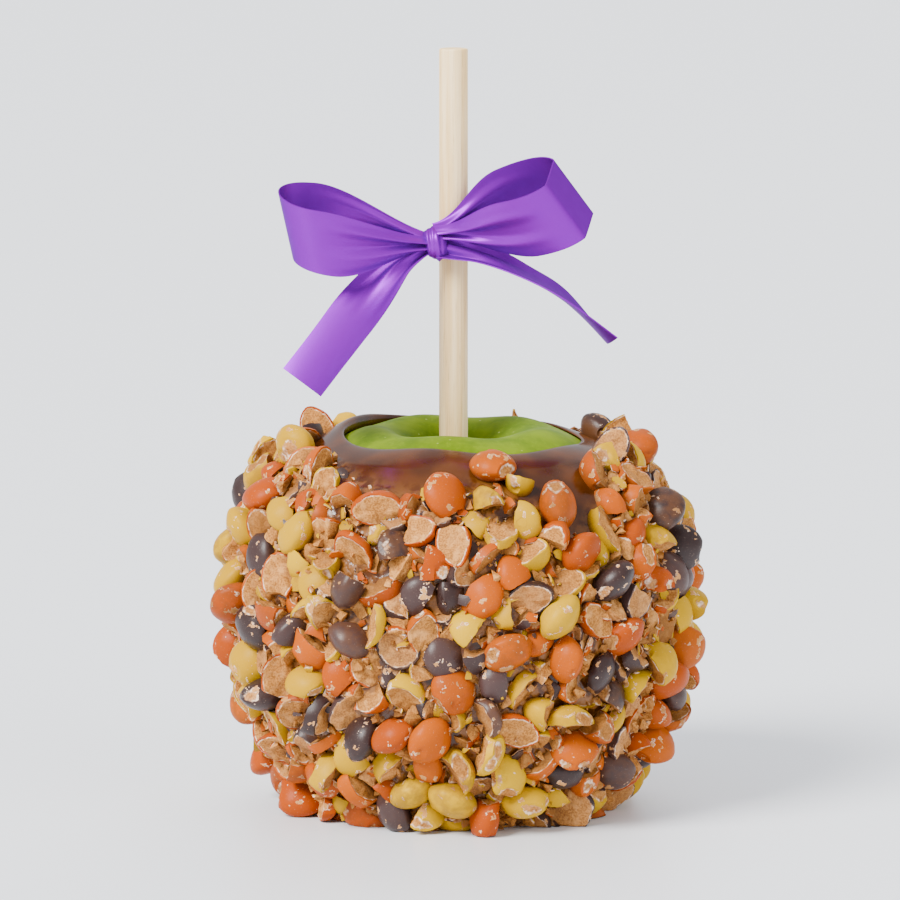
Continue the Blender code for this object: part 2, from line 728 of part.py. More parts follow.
def make_ribbon():
    """The bow: knot, turn round the stick, two loops and two tails, all one ribbon."""
    knot = make_knot()
    pieces = [make_wrap()]
    strips = {
        "loop_left": loop_rows(*LEFT_LOOP),
        "loop_right": loop_rows(*RIGHT_LOOP),
        "tail_left": tail_rows(LEFT_TAIL, LEFT_TWIST, 0.62, PINCH),
        "tail_right": tail_rows(RIGHT_TAIL, RIGHT_TWIST, 0.90, 0.34),
    }
    for name, rows in strips.items():
        pieces.append(strip_solid(name, rows, RIBBON_THICKNESS))
    unite(knot, pieces)
    knot.location.x = STICK_X
    return knot


def main():
    clear_scene()
    make_apple()
    make_coat()
    make_stick()
    make_ribbon()


main()
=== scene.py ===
import math
import random

import bmesh
import bpy
import numpy as np
from mathutils import Matrix, Vector, noise
from mathutils.bvhtree import BVHTree


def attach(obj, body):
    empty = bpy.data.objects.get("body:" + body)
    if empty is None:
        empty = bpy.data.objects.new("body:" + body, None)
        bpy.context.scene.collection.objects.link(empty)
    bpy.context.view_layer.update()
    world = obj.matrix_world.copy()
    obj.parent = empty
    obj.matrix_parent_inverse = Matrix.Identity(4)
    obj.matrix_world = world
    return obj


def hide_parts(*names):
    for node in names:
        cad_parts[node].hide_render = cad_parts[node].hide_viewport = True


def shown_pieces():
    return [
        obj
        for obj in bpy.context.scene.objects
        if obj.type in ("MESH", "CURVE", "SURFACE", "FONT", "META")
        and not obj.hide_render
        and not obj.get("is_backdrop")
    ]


# Caramel apple rolled in broken shelled candies, on a stick tied with a satin bow.
# Azimuth is measured about +Z in degrees: 0 is the front, 90 the right, 180 the back.

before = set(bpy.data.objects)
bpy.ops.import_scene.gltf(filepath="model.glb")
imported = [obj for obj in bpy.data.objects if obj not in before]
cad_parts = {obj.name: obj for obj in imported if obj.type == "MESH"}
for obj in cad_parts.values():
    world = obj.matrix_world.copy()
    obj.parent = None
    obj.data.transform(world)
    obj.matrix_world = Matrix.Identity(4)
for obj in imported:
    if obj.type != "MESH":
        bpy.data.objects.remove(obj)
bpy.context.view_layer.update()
mm = 0.001
noise.seed_set(3)  # vector noise differs from run to run without a seed
print("frame loaded")


# Small helpers

def addPiece(name, points, faces, finish, sharpAngle=None):
    mesh = bpy.data.meshes.new(name)
    mesh.from_pydata([tuple(p) for p in points], [], faces)
    mesh.update()
    obj = bpy.data.objects.new(name, mesh)
    bpy.context.scene.collection.objects.link(obj)
    mesh.materials.append(finish)
    mesh.shade_smooth()
    if sharpAngle:
        mesh.set_sharp_from_angle(angle=math.radians(sharpAngle))
    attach(obj, "root")
    return obj


def storeValues(obj, name, values):
    layer = obj.data.attributes.new(name, "FLOAT", "POINT")
    layer.data.foreach_set("value", np.asarray(values, np.float32))


def smoothStep(low, high, value):
    t = np.clip((value - low) / (high - low), 0, 1)
    return t * t * (3 - 2 * t)


def smoothPoint(points, u):
    last = len(points) - 1
    k = min(max(int(math.floor(u)), 0), last - 1)
    f = u - k
    p0, p1, p2, p3 = (np.array(points[min(max(i, 0), last)], float) for i in (k - 1, k, k + 1, k + 2))
    ahead, behind = p2 - p0, p3 - p1
    return (
        p1
        + 0.5 * f * ahead
        + f * f * (-0.5 * ahead + 3 * (p2 - p1) - ahead * 0.5 - behind * 0.5)
        + f**3 * (0.5 * ahead + 0.5 * behind - 2 * (p2 - p1))
    )


def smoothLine(points, count, start=0.0, end=None):
    end = len(points) - 1 if end is None else end
    return [smoothPoint(points, start + (end - start) * i / (count - 1)) for i in range(count)]


def around(azimuth, radius, height):
    angle = math.radians(azimuth)
    return Vector((radius * math.sin(angle), -radius * math.cos(angle), height))


def roundHills(azimuth, centre, width):
    away = (azimuth - centre + 180) % 360 - 180
    return math.exp(-((away / width) ** 2))


def azimuths(count):
    return [-180 + 360 * j / count for j in range(count)]


def ringsToFaces(rowCount, columnCount):
    faces = []
    for i in range(rowCount - 1):
        here, above = i * columnCount, (i + 1) * columnCount
        for j in range(columnCount):
            k = (j + 1) % columnCount
            faces.append((here + j, here + k, above + k, above + j))
    return faces


def capEnds(faces, rowCount, columnCount, first, last):
    # Fans from the first ring to one point and from the last ring to another
    top = (rowCount - 1) * columnCount
    for j in range(columnCount):
        k = (j + 1) % columnCount
        faces.append((first, k, j))
        faces.append((top + j, top + k, last))


# Camera and soft studio light come first

cameraPlace = {
    "elevation": 8.0,
    "distance": 1.5,
    "aim": (-1.97 * mm, 0, 79.0 * mm),
    "lens": 271.2,
    "farthest": 20,
}

cameraData = bpy.data.cameras.new("camera")
camera = bpy.data.objects.new("camera", cameraData)
bpy.context.scene.collection.objects.link(camera)
cameraData.lens = cameraPlace["lens"]
tilt = math.radians(cameraPlace["elevation"])
backward = Vector((0, -math.cos(tilt), math.sin(tilt)))
camera.location = Vector(cameraPlace["aim"]) + backward * cameraPlace["distance"]
camera.rotation_euler = (math.radians(90) - tilt, 0, 0)
cameraData.clip_end = cameraPlace["farthest"]
bpy.context.scene.camera = camera

studio = {
    # Name, where the light comes from, spread in degrees, power, colour, whether gloss mirrors it
    "lights": (
        ("key", (-0.70, -0.66, 0.80), 26, 8.4, (1.0, 0.985, 0.96), True),
        ("fill", (0.85, -0.70, 0.42), 50, 1.7, (0.95, 0.97, 1.0), False),
        ("back", (0.15, 0.85, 0.75), 50, 2.6, (1.0, 1.0, 1.0), False),
    ),
    "worldColour": (0.90, 0.94, 1.0, 1),
    "worldStrength": 1.0,
    "floorColour": (0.80, 0.82, 0.86, 1),
    "floorRoughness": 0.30,
    "floorGloss": 0.30,
    "floorReach": 9,
}


def addLight(name, place, spread, power, colour, glossy):
    data = bpy.data.lights.new(name, "SUN")
    data.energy = power
    data.angle = math.radians(spread)
    data.color = colour
    lamp = bpy.data.objects.new(name, data)
    bpy.context.scene.collection.objects.link(lamp)
    lamp.location = place
    lamp.rotation_euler = (-lamp.location).to_track_quat("-Z", "Y").to_euler()
    lamp.visible_glossy = glossy


for light in studio["lights"]:
    addLight(*light)

world = bpy.data.worlds.new("studioWorld")
bpy.context.scene.world = world
world.use_nodes = True
world.node_tree.nodes["Background"].inputs["Color"].default_value = studio["worldColour"]
world.node_tree.nodes["Background"].inputs["Strength"].default_value = studio["worldStrength"]

floorMaterial = bpy.data.materials.new("paleFloor")
floorMaterial.use_nodes = True
floorShader = floorMaterial.node_tree.nodes["Principled BSDF"]
floorShader.inputs["Base Color"].default_value = studio["floorColour"]
floorShader.inputs["Roughness"].default_value = studio["floorRoughness"]
floorShader.inputs["Specular IOR Level"].default_value = studio["floorGloss"]
floorMesh = bpy.data.meshes.new("floor")
floorSides = ((-1, -1), (1, -1), (1, 1), (-1, 1))
floorCorners = [(x * studio["floorReach"], y * studio["floorReach"], 0) for x, y in floorSides]
floorMesh.from_pydata(floorCorners, [], [(0, 1, 2, 3)])
floorMesh.materials.append(floorMaterial)
floor = bpy.data.objects.new("floor", floorMesh)
bpy.context.scene.collection.objects.link(floor)
floor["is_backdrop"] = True
print("camera, light and floor ready")


# Node helpers

def newMaterial(name):
    finish = bpy.data.materials.new(name)
    finish.use_nodes = True
    return finish, finish.node_tree, finish.node_tree.nodes["Principled BSDF"]


def addNode(tree, kind, values=None, **settings):
    node = tree.nodes.new(kind)
    for key, value in settings.items():
        setattr(node, key, value)
    for key, value in (values or {}).items():
        node.inputs[key].default_value = value
    return node


def wire(tree, source, target):
    tree.links.new(source, target)


def maths(tree, operation, first, second=None, third=None):
    node = addNode(tree, "ShaderNodeMath", operation=operation)
    for i, value in enumerate((first, second, third)):
        if value is None:
            continue
        if isinstance(value, (int, float)):
            node.inputs[i].default_value = value
        else:
            wire(tree, value, node.inputs[i])
    return node.outputs[0]


def remap(tree, value, fromLow, fromHigh, toLow=0.0, toHigh=1.0):
    node = addNode(tree, "ShaderNodeMapRange", interpolation_type="SMOOTHSTEP")
    limits = {"From Min": fromLow, "From Max": fromHigh, "To Min": toLow, "To Max": toHigh}
    for key, number in limits.items():
        node.inputs[key].default_value = number
    wire(tree, value, node.inputs["Value"])
    return node.outputs["Result"]


def mixColour(tree, factor, first, second):
    node = addNode(tree, "ShaderNodeMix", data_type="RGBA")
    for socket, value in ((node.inputs[0], factor), (node.inputs[6], first), (node.inputs[7], second)):
        if isinstance(value, (int, float, tuple)):
            socket.default_value = value
        else:
            wire(tree, value, socket)
    return node.outputs[2]


def noiseAt(tree, place, scale, detail=2.0, roughness=0.5):
    node = addNode(tree, "ShaderNodeTexNoise", {"Scale": scale, "Detail": detail, "Roughness": roughness})
    wire(tree, place, node.inputs["Vector"])
    return node.outputs["Fac"]


def inMillimetres(tree):
    place = addNode(tree, "ShaderNodeTexCoord")
    scaled = addNode(tree, "ShaderNodeVectorMath", {"Scale": 1 / mm}, operation="SCALE")
    wire(tree, place.outputs["Object"], scaled.inputs[0])
    return scaled.outputs[0]


def stretched(tree, place, scale, rotation=(0, 0, 0)):
    mapping = addNode(tree, "ShaderNodeMapping", {"Scale": scale, "Rotation": rotation})
    wire(tree, place, mapping.inputs["Vector"])
    return mapping.outputs[0]


def attribute(tree, name):
    node = addNode(tree, "ShaderNodeAttribute", attribute_type="GEOMETRY", attribute_name=name)
    return node.outputs["Fac"]


def addBump(tree, shader, height, strength, distance=mm):
    bump = addNode(tree, "ShaderNodeBump", {"Strength": strength, "Distance": distance})
    wire(tree, height, bump.inputs["Height"])
    wire(tree, bump.outputs["Normal"], shader.inputs["Normal"])


def newGroup(name, inputs, outputs):
    group = bpy.data.node_groups.new(name, "ShaderNodeTree")
    for socketName, kind, value in inputs:
        socket = group.interface.new_socket(name=socketName, in_out="INPUT", socket_type=kind)
        if value is not None:
            socket.default_value = value
    for socketName, kind in outputs:
        group.interface.new_socket(name=socketName, in_out="OUTPUT", socket_type=kind)
    return group, group.nodes.new("NodeGroupInput").outputs, group.nodes.new("NodeGroupOutput").inputs


# The fruit

appleShape = {
    "outline": (
        (0.0, 4.3), (17.0, 4.6), (27.6, 8.2), (35.2, 15.4), (40.4, 26.0), (43.2, 41.0), (42.9, 54.0),
        (39.7, 65.0), (34.2, 74.3), (27.2, 80.8), (19.0, 84.2), (12.2, 81.8), (7.2, 76.0), (3.7, 70.0),
    ),
    "rows": 120,
    "columns": 160,
    "hollowRadius": 15.0 * mm,
    "holeBottom": 27.0 * mm,
    # Five low lobes round the top: height, and the ring they stand on, its radius and width in millimetres
    "lobe": 0.45 * mm,
    "lobeRing": (20.0, 7.0),
    "sharpAngle": 50,
    # Where the shoulder's line is measured: points, and its first and last corner in the outline
    "shoulder": (160, 7, 10),
    "skin": (0.135, 0.200, 0.001, 1),
    "skinPale": (0.18, 0.27, 0.008, 1),
    "skinDark": (0.070, 0.125, 0.001, 1),
    "speck": (0.30, 0.36, 0.08, 1),
    "hollowShade": (0.035, 0.055, 0.004, 1),
    "mottle": (0.11, 4.0, 0.6),
    "mottleMask": (0.32, 0.68),
    "streakStretch": (1.0, 1.0, 0.22),
    "streaks": (0.9, 3.0, 0.6),
    "streakMask": (0.5, 0.85, 0, 0.45),
    "speckScale": 0.33,
    "speckMask": (0.045, 0.11, 0.75, 0.0),
    "hollowMask": (71.0, 80.0, 0.75, 0.0),
    "roughness": 0.45,
    "gloss": 0.04,
    "bump": 0.12,
}
stickX = -1.2 * mm


def appleLobes(azimuth, radius):
    middle, width = appleShape["lobeRing"]
    near = math.exp(-(((radius / mm - middle) / width) ** 2))
    return appleShape["lobe"] * near * math.cos(math.radians(5 * azimuth + 40))


def appleRing(radius, height, columns):
    closing = max(0.0, 1 - (radius - appleShape["outline"][-1][0] * mm) / appleShape["hollowRadius"])
    shift = Vector((stickX * closing, 0, 0))
    return [around(turn, radius, height + appleLobes(turn, radius)) + shift for turn in azimuths(columns)]


def appleHeight(radius, line=smoothLine(appleShape["outline"], *appleShape["shoulder"])):
    for (r0, z0), (r1, z1) in zip(line, line[1:]):
        if r1 <= radius / mm <= r0:
            return (z0 + (z1 - z0) * (radius / mm - r0) / (r1 - r0)) * mm
    return line[-1][1] * mm


def appleMaterial():
    finish, tree, shader = newMaterial("appleSkin")
    place = inMillimetres(tree)
    mottle = noiseAt(tree, place, *appleShape["mottle"])
    streaks = noiseAt(tree, stretched(tree, place, appleShape["streakStretch"]), *appleShape["streaks"])
    dark = remap(tree, mottle, *appleShape["mottleMask"])
    colour = mixColour(tree, dark, appleShape["skinDark"], appleShape["skin"])
    colour = mixColour(tree, remap(tree, streaks, *appleShape["streakMask"]), colour, appleShape["skinPale"])
    dots = addNode(tree, "ShaderNodeTexVoronoi", {"Scale": appleShape["speckScale"], "Randomness": 1.0})
    wire(tree, place, dots.inputs["Vector"])
    specks = remap(tree, dots.outputs["Distance"], *appleShape["speckMask"])
    colour = mixColour(tree, specks, colour, appleShape["speck"])
    height = addNode(tree, "ShaderNodeSeparateXYZ")
    wire(tree, place, height.inputs[0])
    deep = remap(tree, height.outputs["Z"], *appleShape["hollowMask"])
    colour = mixColour(tree, deep, colour, appleShape["hollowShade"])
    wire(tree, colour, shader.inputs["Base Color"])
    shader.inputs["Roughness"].default_value = appleShape["roughness"]
    shader.inputs["Specular IOR Level"].default_value = appleShape["gloss"]
    addBump(tree, shader, mottle, appleShape["bump"])
    return finish


def makeApple():
    rows, columns = appleShape["rows"], appleShape["columns"]
    points, line = [], smoothLine(appleShape["outline"], rows)
    for radius, height in line[1:]:
        points += appleRing(radius * mm, height * mm, columns)
    hole = appleShape["outline"][-1][0] * mm
    points += appleRing(hole, appleShape["holeBottom"], columns)
    faces = ringsToFaces(rows, columns)
    capEnds(faces, rows, columns, len(points), len(points) + 1)
    points += [Vector((0, 0, line[0][1] * mm)), Vector((stickX, 0, appleShape["holeBottom"]))]
    apple = addPiece("greenApple", points, faces, appleMaterial(), appleShape["sharpAngle"])
    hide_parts("apple")


makeApple()
print("apple made")


# The caramel's surface, and where every candy lies on it

coatShape = {
    "outline": (
        (25.0, 0.0), (29.4, 1.4), (34.6, 5.4), (39.4, 13.0), (44.2, 24.0), (47.4, 39.0),
        (47.2, 53.0), (43.6, 66.0), (39.2, 74.4), (33.6, 79.2),
    ),
    "gap": 0.3 * mm,
    "lipRadius": 26.4 * mm,
    "lipRise": 0.6 * mm,
    "lipSwell": 3.0 * mm,
    "lipSwellAzimuth": -118.0,
    "lipSwellWidth": 42.0,
    "lipDent": 3.6 * mm,
    "lipDentWidth": 28.0,
    "lipCrown": 0.35 * mm,
    "lipWave": 0.2 * mm,
    "edgeWaves": (0.8, 0.5),
    "sideWave": 0.35 * mm,
    "lipProfile": (
        (0.90, 0.0), (0.78, 0.0), (0.62, 0.0), (0.46, 0.0), (0.32, 0.02), (0.20, 0.05), (0.11, 0.12),
        (0.045, 0.25), (0.01, 0.42), (-0.005, 0.68), (0.0, 1.0),
    ),
    "candyTop": (
        (-180, 76), (-140, 77), (-115, 81), (-78, 83), (-58, 80), (-40, 75), (-18, 73), (0, 74), (12, 75),
        (24, 70), (35, 64), (44, 68), (54, 77), (66, 81), (95, 82), (120, 79), (150, 76),
    ),
    "candyLowest": 1.2 * mm,
}


def lipRise(azimuth):
    wave = coatShape["lipWave"] * math.sin(math.radians(3 * azimuth + 20))
    swell = roundHills(azimuth, coatShape["lipSwellAzimuth"], coatShape["lipSwellWidth"])
    return coatShape["lipRise"] + coatShape["lipSwell"] * swell + wave


def lipRadius(azimuth):
    long, short = coatShape["edgeWaves"]
    wave = long * math.sin(math.radians(2 * azimuth - 35)) + short * math.sin(math.radians(5 * azimuth))
    dent = roundHills(azimuth, coatShape["lipSwellAzimuth"], coatShape["lipDentWidth"])
    return coatShape["lipRadius"] + wave * mm - coatShape["lipDent"] * dent


def lipPoint(azimuth, share, drop):
    # From the end of the outline, share 1, to the edge of the opening, share 0
    end = coatPlace(len(coatShape["outline"]) - 1, azimuth)[0]
    inner, rise = lipRadius(azimuth), lipRise(azimuth)
    edge = appleHeight(inner) + appleLobes(azimuth, inner) + coatShape["gap"] + rise
    crown = coatShape["lipCrown"] * 4 * share * (1 - share)
    radius = inner + share * (math.hypot(end.x, end.y) - inner)
    return around(azimuth, radius, edge + share * (end.z - edge) + crown - drop * rise)


def coatWave(azimuth, height):
    turn, up = math.radians(azimuth), height / mm
    return coatShape["sideWave"] * math.sin(3 * turn + up / 11) * math.sin(up / 17 + turn)


def coatPlace(u, azimuth):
    radius, height = smoothPoint(coatShape["outline"], u)
    before, after = (smoothPoint(coatShape["outline"], u + step) for step in (-0.02, 0.02))
    run, rise = after - before
    out = around(azimuth, rise, 0) + Vector((0, 0, -run))
    out.normalize()
    swell = coatWave(azimuth, height * mm) * min(1.0, u)
    return around(azimuth, radius * mm, height * mm) + out * swell, out


def candyTop(azimuth):
    ends = [*coatShape["candyTop"], (coatShape["candyTop"][0][0] + 360, coatShape["candyTop"][0][1])]
    for (a, low), (b, high) in zip(ends, ends[1:]):
        if a <= azimuth <= b:
            share = (azimuth - a) / (b - a)
            return (low + (high - low) * (3 - 2 * share) * share * share) * mm
    return ends[0][1] * mm


candyRule = {
    "radius": (4.9 * mm, 5.9 * mm),
    "flatness": 0.66,
    "seed": 7,
    "count": 900,
    "tries": 70,
    "spacing": 0.80,
    "sinkShare": 0.34,
    "sinkLimit": 2.1 * mm,
    "margin": 0.6,
    "probes": 64,
    "forms": ("whole", "half", "wedge", "slab", "cap", "crumb"),
    "formShares": (0.06, 0.26, 0.29, 0.14, 0.08, 0.17),
    "crumbSize": 0.80,
    # How far from the middle each form is broken, for one plane after the other
    "offsets": {
        "whole": ((0.82, 1.2),),
        "half": ((-0.1, 0.2), (0.55, 0.95)),
        "wedge": ((-0.15, 0.25), (0.0, 0.35)),
        "slab": ((0.25, 0.45), (0.0, 0.2)),
        "cap": ((0.0, 0.22), (0.6, 1.1)),
        "crumb": ((0.1, 0.3), (0.0, 0.25), (0.1, 0.3)),
    },
    "sideLean": (-0.25, 0.25),
    "otherTurn": (1.3, 2.2),
    "otherLean": (-0.4, 0.4),
    "backLean": (-0.2, 0.2),
    "capLean": 0.25,
    "lidLean": (0.5, 1.4),
    "colours": ("orange", "yellow", "brown"),
    "colourShares": (0.52, 0.27, 0.21),
    "wholeTilt": (30, 90),
    "faceOutTilt": (5, 70),
    "faceSideTilt": (85, 150),
    "faceOutShare": 0.32,
    # Candies that stand out: azimuth, height, colour, form, how far the axis or broken face leans,
    # and to which side, where 0 is down, 90 right, 180 up and 270 left
    "landmarks": (
        (12.0, 81.0, "orange", "whole", 30, 180),
        (19.5, 76.2, "yellow", "wedge", 60, 160),
        (29.0, 71.0, "orange", "whole", 58, 85),
        (8.0, 72.4, "yellow", "half", 104, 10),
        (19.0, 68.6, "yellow", "half", 125, 250),
        (-4.0, 73.4, "orange", "whole", 48, 90),
        (-14.0, 71.2, "orange", "wedge", 55, 70),
        (-24.0, 71.0, "orange", "half", 42, 30),
        (-34.0, 71.8, "orange", "half", 84, 0),
        (-45.0, 74.0, "yellow", "half", 34, 20),
        (-66.0, 77.4, "orange", "slab", 42, 70),
        (50.0, 76.4, "orange", "half", 34, 50),
        (60.0, 70.0, "orange", "wedge", 40, 20),
        (71.0, 79.0, "brown", "half", 70, 270),
        (98.0, 81.0, "yellow", "half", 84, 270),
        (-99.0, 81.6, "brown", "wedge", 76, 0),
        (-134.0, 81.2, "yellow", "half", 130, 0),
        (157.0, 82.0, "yellow", "crumb", 60, 0),
        (114.0, 81.4, "brown", "whole", 12, 0),
        (19.0, 61.6, "yellow", "half", 50, 225),
        (-17.0, 63.6, "brown", "half", 110, 10),
        (-39.0, 65.4, "orange", "wedge", 34, 330),
        (25.0, 49.0, "yellow", "whole", 66, 45),
        (12.0, 42.0, "orange", "whole", 46, 20),
        (-36.0, 49.0, "yellow", "half", 66, 60),
        (-63.0, 43.0, "brown", "whole", 24, 0),
        (-31.0, 28.4, "brown", "half", 34, 70),
        (60.0, 53.0, "orange", "half", 100, 0),
        (-88.0, 47.5, "orange", "half", 64, 90),
        (94.0, 28.0, "orange", "half", 50, 270),
        (21.0, 8.6, "yellow", "whole", 56, 0),
    ),
}


def pick(rng, names, shares):
    return rng.choices(names, weights=shares)[0]


def cutPlane(direction, offset):
    length = math.sqrt(sum(x * x for x in direction))
    return np.array([x / length for x in direction]), offset


def cutsOf(form, rng):
    turn = rng.uniform(0, 2 * math.pi)
    side = (math.cos(turn), math.sin(turn), rng.uniform(*candyRule["sideLean"]))
    turn += rng.uniform(*candyRule["otherTurn"])
    other = (math.cos(turn), math.sin(turn), rng.uniform(*candyRule["otherLean"]))
    back = (-side[0], -side[1], rng.uniform(*candyRule["backLean"]))
    planes = {
        "whole": (other,),
        "half": (side, other),
        "wedge": (side, other),
        "slab": (side, back),
        "cap": ((candyRule["capLean"] * side[0], candyRule["capLean"] * side[1], 1), other),
    }
    if form == "crumb":
        planes["crumb"] = (side, other, (side[1], -side[0], rng.uniform(*candyRule["lidLean"])))
    offsets = candyRule["offsets"][form]
    return [cutPlane(plane, rng.uniform(*offset)) for plane, offset in zip(planes[form], offsets)]


def ballDirections(count):
    k = np.arange(count) + 0.5
    height = 1 - 2 * k / count
    turn = k * math.pi * (3 - math.sqrt(5))
    level = np.sqrt(1 - height * height)
    return np.stack([level * np.cos(turn), level * np.sin(turn), height], axis=1)


def cutPoints(candy, directions):
    points = directions * [1, 1, candyRule["flatness"]]
    kept = np.ones(len(points), bool)
    for normal, offset in candy["cuts"]:
        kept &= points @ normal < offset
    core = points[kept].mean(axis=0) if kept.any() else np.zeros(3)
    core = candy.get("core", core)
    reach = points - core
    share = np.ones(len(points))
    for normal, offset in candy["cuts"]:
        along = reach @ normal
        limit = (offset - core @ normal) / np.where(along > 1e-9, along, 1e-9)
        share = np.where(along > 1e-9, np.minimum(share, limit), share)
    return (core + reach * share[:, None]) * candy["radius"]


def lying(candy, rng, tilt=None, heading=None):
    # A whole candy's axis, or the face that another broke along, leans by tilt to heading
    whole = candy["form"] == "whole"
    spin = rng.uniform(0, 2 * math.pi)
    if tilt is None:
        heading = rng.uniform(0, 360)
        if whole:
            tilt = rng.uniform(*candyRule["wholeTilt"])
        elif rng.random() < candyRule["faceOutShare"]:
            tilt = rng.uniform(*candyRule["faceOutTilt"])
        else:
            tilt = rng.uniform(*candyRule["faceSideTilt"])
    face = Vector((0, 0, 1)) if whole else Vector(candy["cuts"][0][0])
    lean = Matrix.Rotation(math.radians(heading), 3, "Z") @ Matrix.Rotation(math.radians(tilt), 3, "X")
    aim = lean @ Vector((0, 0, 1))
    return Matrix.Rotation(spin, 3, aim) @ face.rotation_difference(aim).to_matrix()


def newCandy(rng, colour=None, form=None, tilt=None, heading=None):
    form = form or pick(rng, candyRule["forms"], candyRule["formShares"])
    candy = {
        "form": form,
        "colour": colour or pick(rng, candyRule["colours"], candyRule["colourShares"]),
        "radius": rng.uniform(*candyRule["radius"]) * (candyRule["crumbSize"] if form == "crumb" else 1.0),
        "cuts": cutsOf(form, rng),
    }
    return measured(candy, lying(candy, rng, tilt, heading))


def measured(candy, turn):
    candy["turn"] = turn
    points = cutPoints(candy, ballDirections(candyRule["probes"])) @ np.array(turn).T
    candy["centre"] = points.mean(axis=0)
    spread = np.linalg.norm((points - candy["centre"])[:, :2], axis=1)
    candy["reach"] = float(spread.max() + spread.mean()) / 2
    candy["bottom"] = float(points[:, 2].min())
    candy["height"] = float(np.ptp(points[:, 2]))
    return candy


def settle(candy, u, azimuth):
    place, out = coatPlace(u, azimuth)
    sink = min(candy["height"] * candyRule["sinkShare"], candyRule["sinkLimit"])
    return pressed(candy, place, out, sink)


def pressed(candy, place, out, sink):
    upright = out.to_track_quat("Z", "Y").to_matrix().to_4x4()
    shift = Vector((-candy["centre"][0], -candy["centre"][1], -candy["bottom"] - sink))
    candy["place"], candy["out"] = place, out
    turned = upright @ Matrix.Translation(shift) @ candy["turn"].to_4x4()
    candy["matrix"] = Matrix.Translation(place) @ turned
    return candy


def outlineAt(height):
    steps = np.linspace(0, len(coatShape["outline"]) - 1, 400)
    heights = [smoothPoint(coatShape["outline"], u)[1] * mm for u in steps]
    return float(np.interp(height, heights, steps))


def packCandies(rng, loose, placed, lowest, highest, rule):
    places = np.array([candy["place"] for candy in placed])
    reaches = np.array([candy["reach"] for candy in placed])
    widest = max(radius for radius, _ in coatShape["outline"])
    for candy in loose:
        for _ in range(rule["tries"]):
            u, azimuth = rng.uniform(lowest, highest), rng.uniform(-180, 180)
            radius, height = smoothPoint(coatShape["outline"], u)
            limit = candyTop(azimuth) - rule["margin"] * candy["reach"]
            if rng.random() > radius / widest or height * mm > limit:
                continue
            place = np.array(coatPlace(u, azimuth)[0])
            if (np.linalg.norm(places - place, axis=1) < rule["spacing"] * (reaches + candy["reach"])).any():
                continue
            placed.append(settle(candy, u, azimuth))
            places = np.vstack([places, place])
            reaches = np.append(reaches, candy["reach"])
            break
    return placed


def scatterCandies():
    rng = random.Random(candyRule["seed"])
    placed = []
    for azimuth, height, colour, form, tilt, heading in candyRule["landmarks"]:
        candy = newCandy(rng, colour, form, tilt, heading)
        placed.append(settle(candy, outlineAt(height * mm), azimuth))
    loose = sorted((newCandy(rng) for _ in range(candyRule["count"])), key=lambda candy: -candy["reach"])
    lowest, highest = outlineAt(coatShape["candyLowest"]), len(coatShape["outline"]) - 1
    return packCandies(rng, loose, placed, lowest, highest, candyRule)


candies = scatterCandies()
print("large candies laid out:", len(candies))

# Smaller pieces of the same candies fill the spaces between them

chipRule = {
    "seed": 21,
    "count": 1150,
    "tries": 40,
    "spacing": 0.70,
    "margin": 0.4,
    "size": (1.3, 2.7),
    # Which part of a candy a chip is: how far its middle lies from the candy's own
    "fillingCore": 0.45,
    "shellCore": (0.3, 1.05),
    "probes": 40,
    "sides": 6,
    "sideLean": (-0.35, 0.35),
    "sideReach": (0.55, 1.15),
    "colours": ("orange", "yellow", "brown", "filling"),
    "colourShares": (0.37, 0.26, 0.21, 0.16),
}


def newChip(rng, size, colour):
    candy = {"form": "chip", "colour": colour, "radius": rng.uniform(*candyRule["radius"]), "cuts": []}
    probes, (least, deeper) = chipRule["probes"], chipRule["shellCore"]
    direction = ballDirections(probes)[rng.randrange(probes)] * [1, 1, candyRule["flatness"]]
    core = max(least, 1 - deeper * size / (candy["radius"] / mm))
    candy["core"] = direction * (chipRule["fillingCore"] if colour == "filling" else core)
    for side in ballDirections(chipRule["sides"]):
        normal = np.array(side) + [rng.uniform(*chipRule["sideLean"]) for _ in range(3)]
        normal = normal / np.linalg.norm(normal)
        half = size * mm / candy["radius"] * rng.uniform(*chipRule["sideReach"])
        candy["cuts"].append((normal, float(candy["core"] @ normal) + half))
    return measured(candy, lying(candy, rng))


def scatterChips(placed):
    rng = random.Random(chipRule["seed"])
    before = len(placed)
    sizes = sorted((rng.uniform(*chipRule["size"]) for _ in range(chipRule["count"])), reverse=True)
    loose = [newChip(rng, size, pick(rng, chipRule["colours"], chipRule["colourShares"])) for size in sizes]
    lowest, highest = outlineAt(coatShape["candyLowest"]), len(coatShape["outline"]) - 1
    packCandies(rng, loose, placed, lowest, highest, chipRule)
    return placed[before:]


chips = scatterChips(list(candies))
print("chips laid out:", len(chips))


# The caramel itself: foot, sides, lip and the cup that holds the apple

caramelShell = {
    "rows": 160,
    "columns": 280,
    "cupRows": 60,
    "cupTop": 81.5,
    "meniscus": 1.5 * mm,
    "meniscusWidth": 1.7 * mm,
    "footShare": 0.80,
    "lumps": 0.45 * mm,
    "lumpScales": (260, 700),
    "candyEdge": (-5 * mm, 2 * mm),
    "calmFoot": 3 * mm,
    "deep": (0.036, 0.0088, 0.0006, 1),
    "body": (0.074, 0.0195, 0.0016, 1),
    "milky": (0.24, 0.092, 0.018, 1),
    "roughness": 0.20,
    "gloss": 0.34,
    "bump": 0.20,
    "cloud": (0.11, 2.0, 0.45),
    "cloudMask": (0.35, 0.68),
    "cloudBump": 0.35,
    "fine": (0.42, 2.5, 0.5),
    "filmMask": (0.40, 0.60),
    "filmColour": 0.8,
    "filmRoughness": 0.10,
}


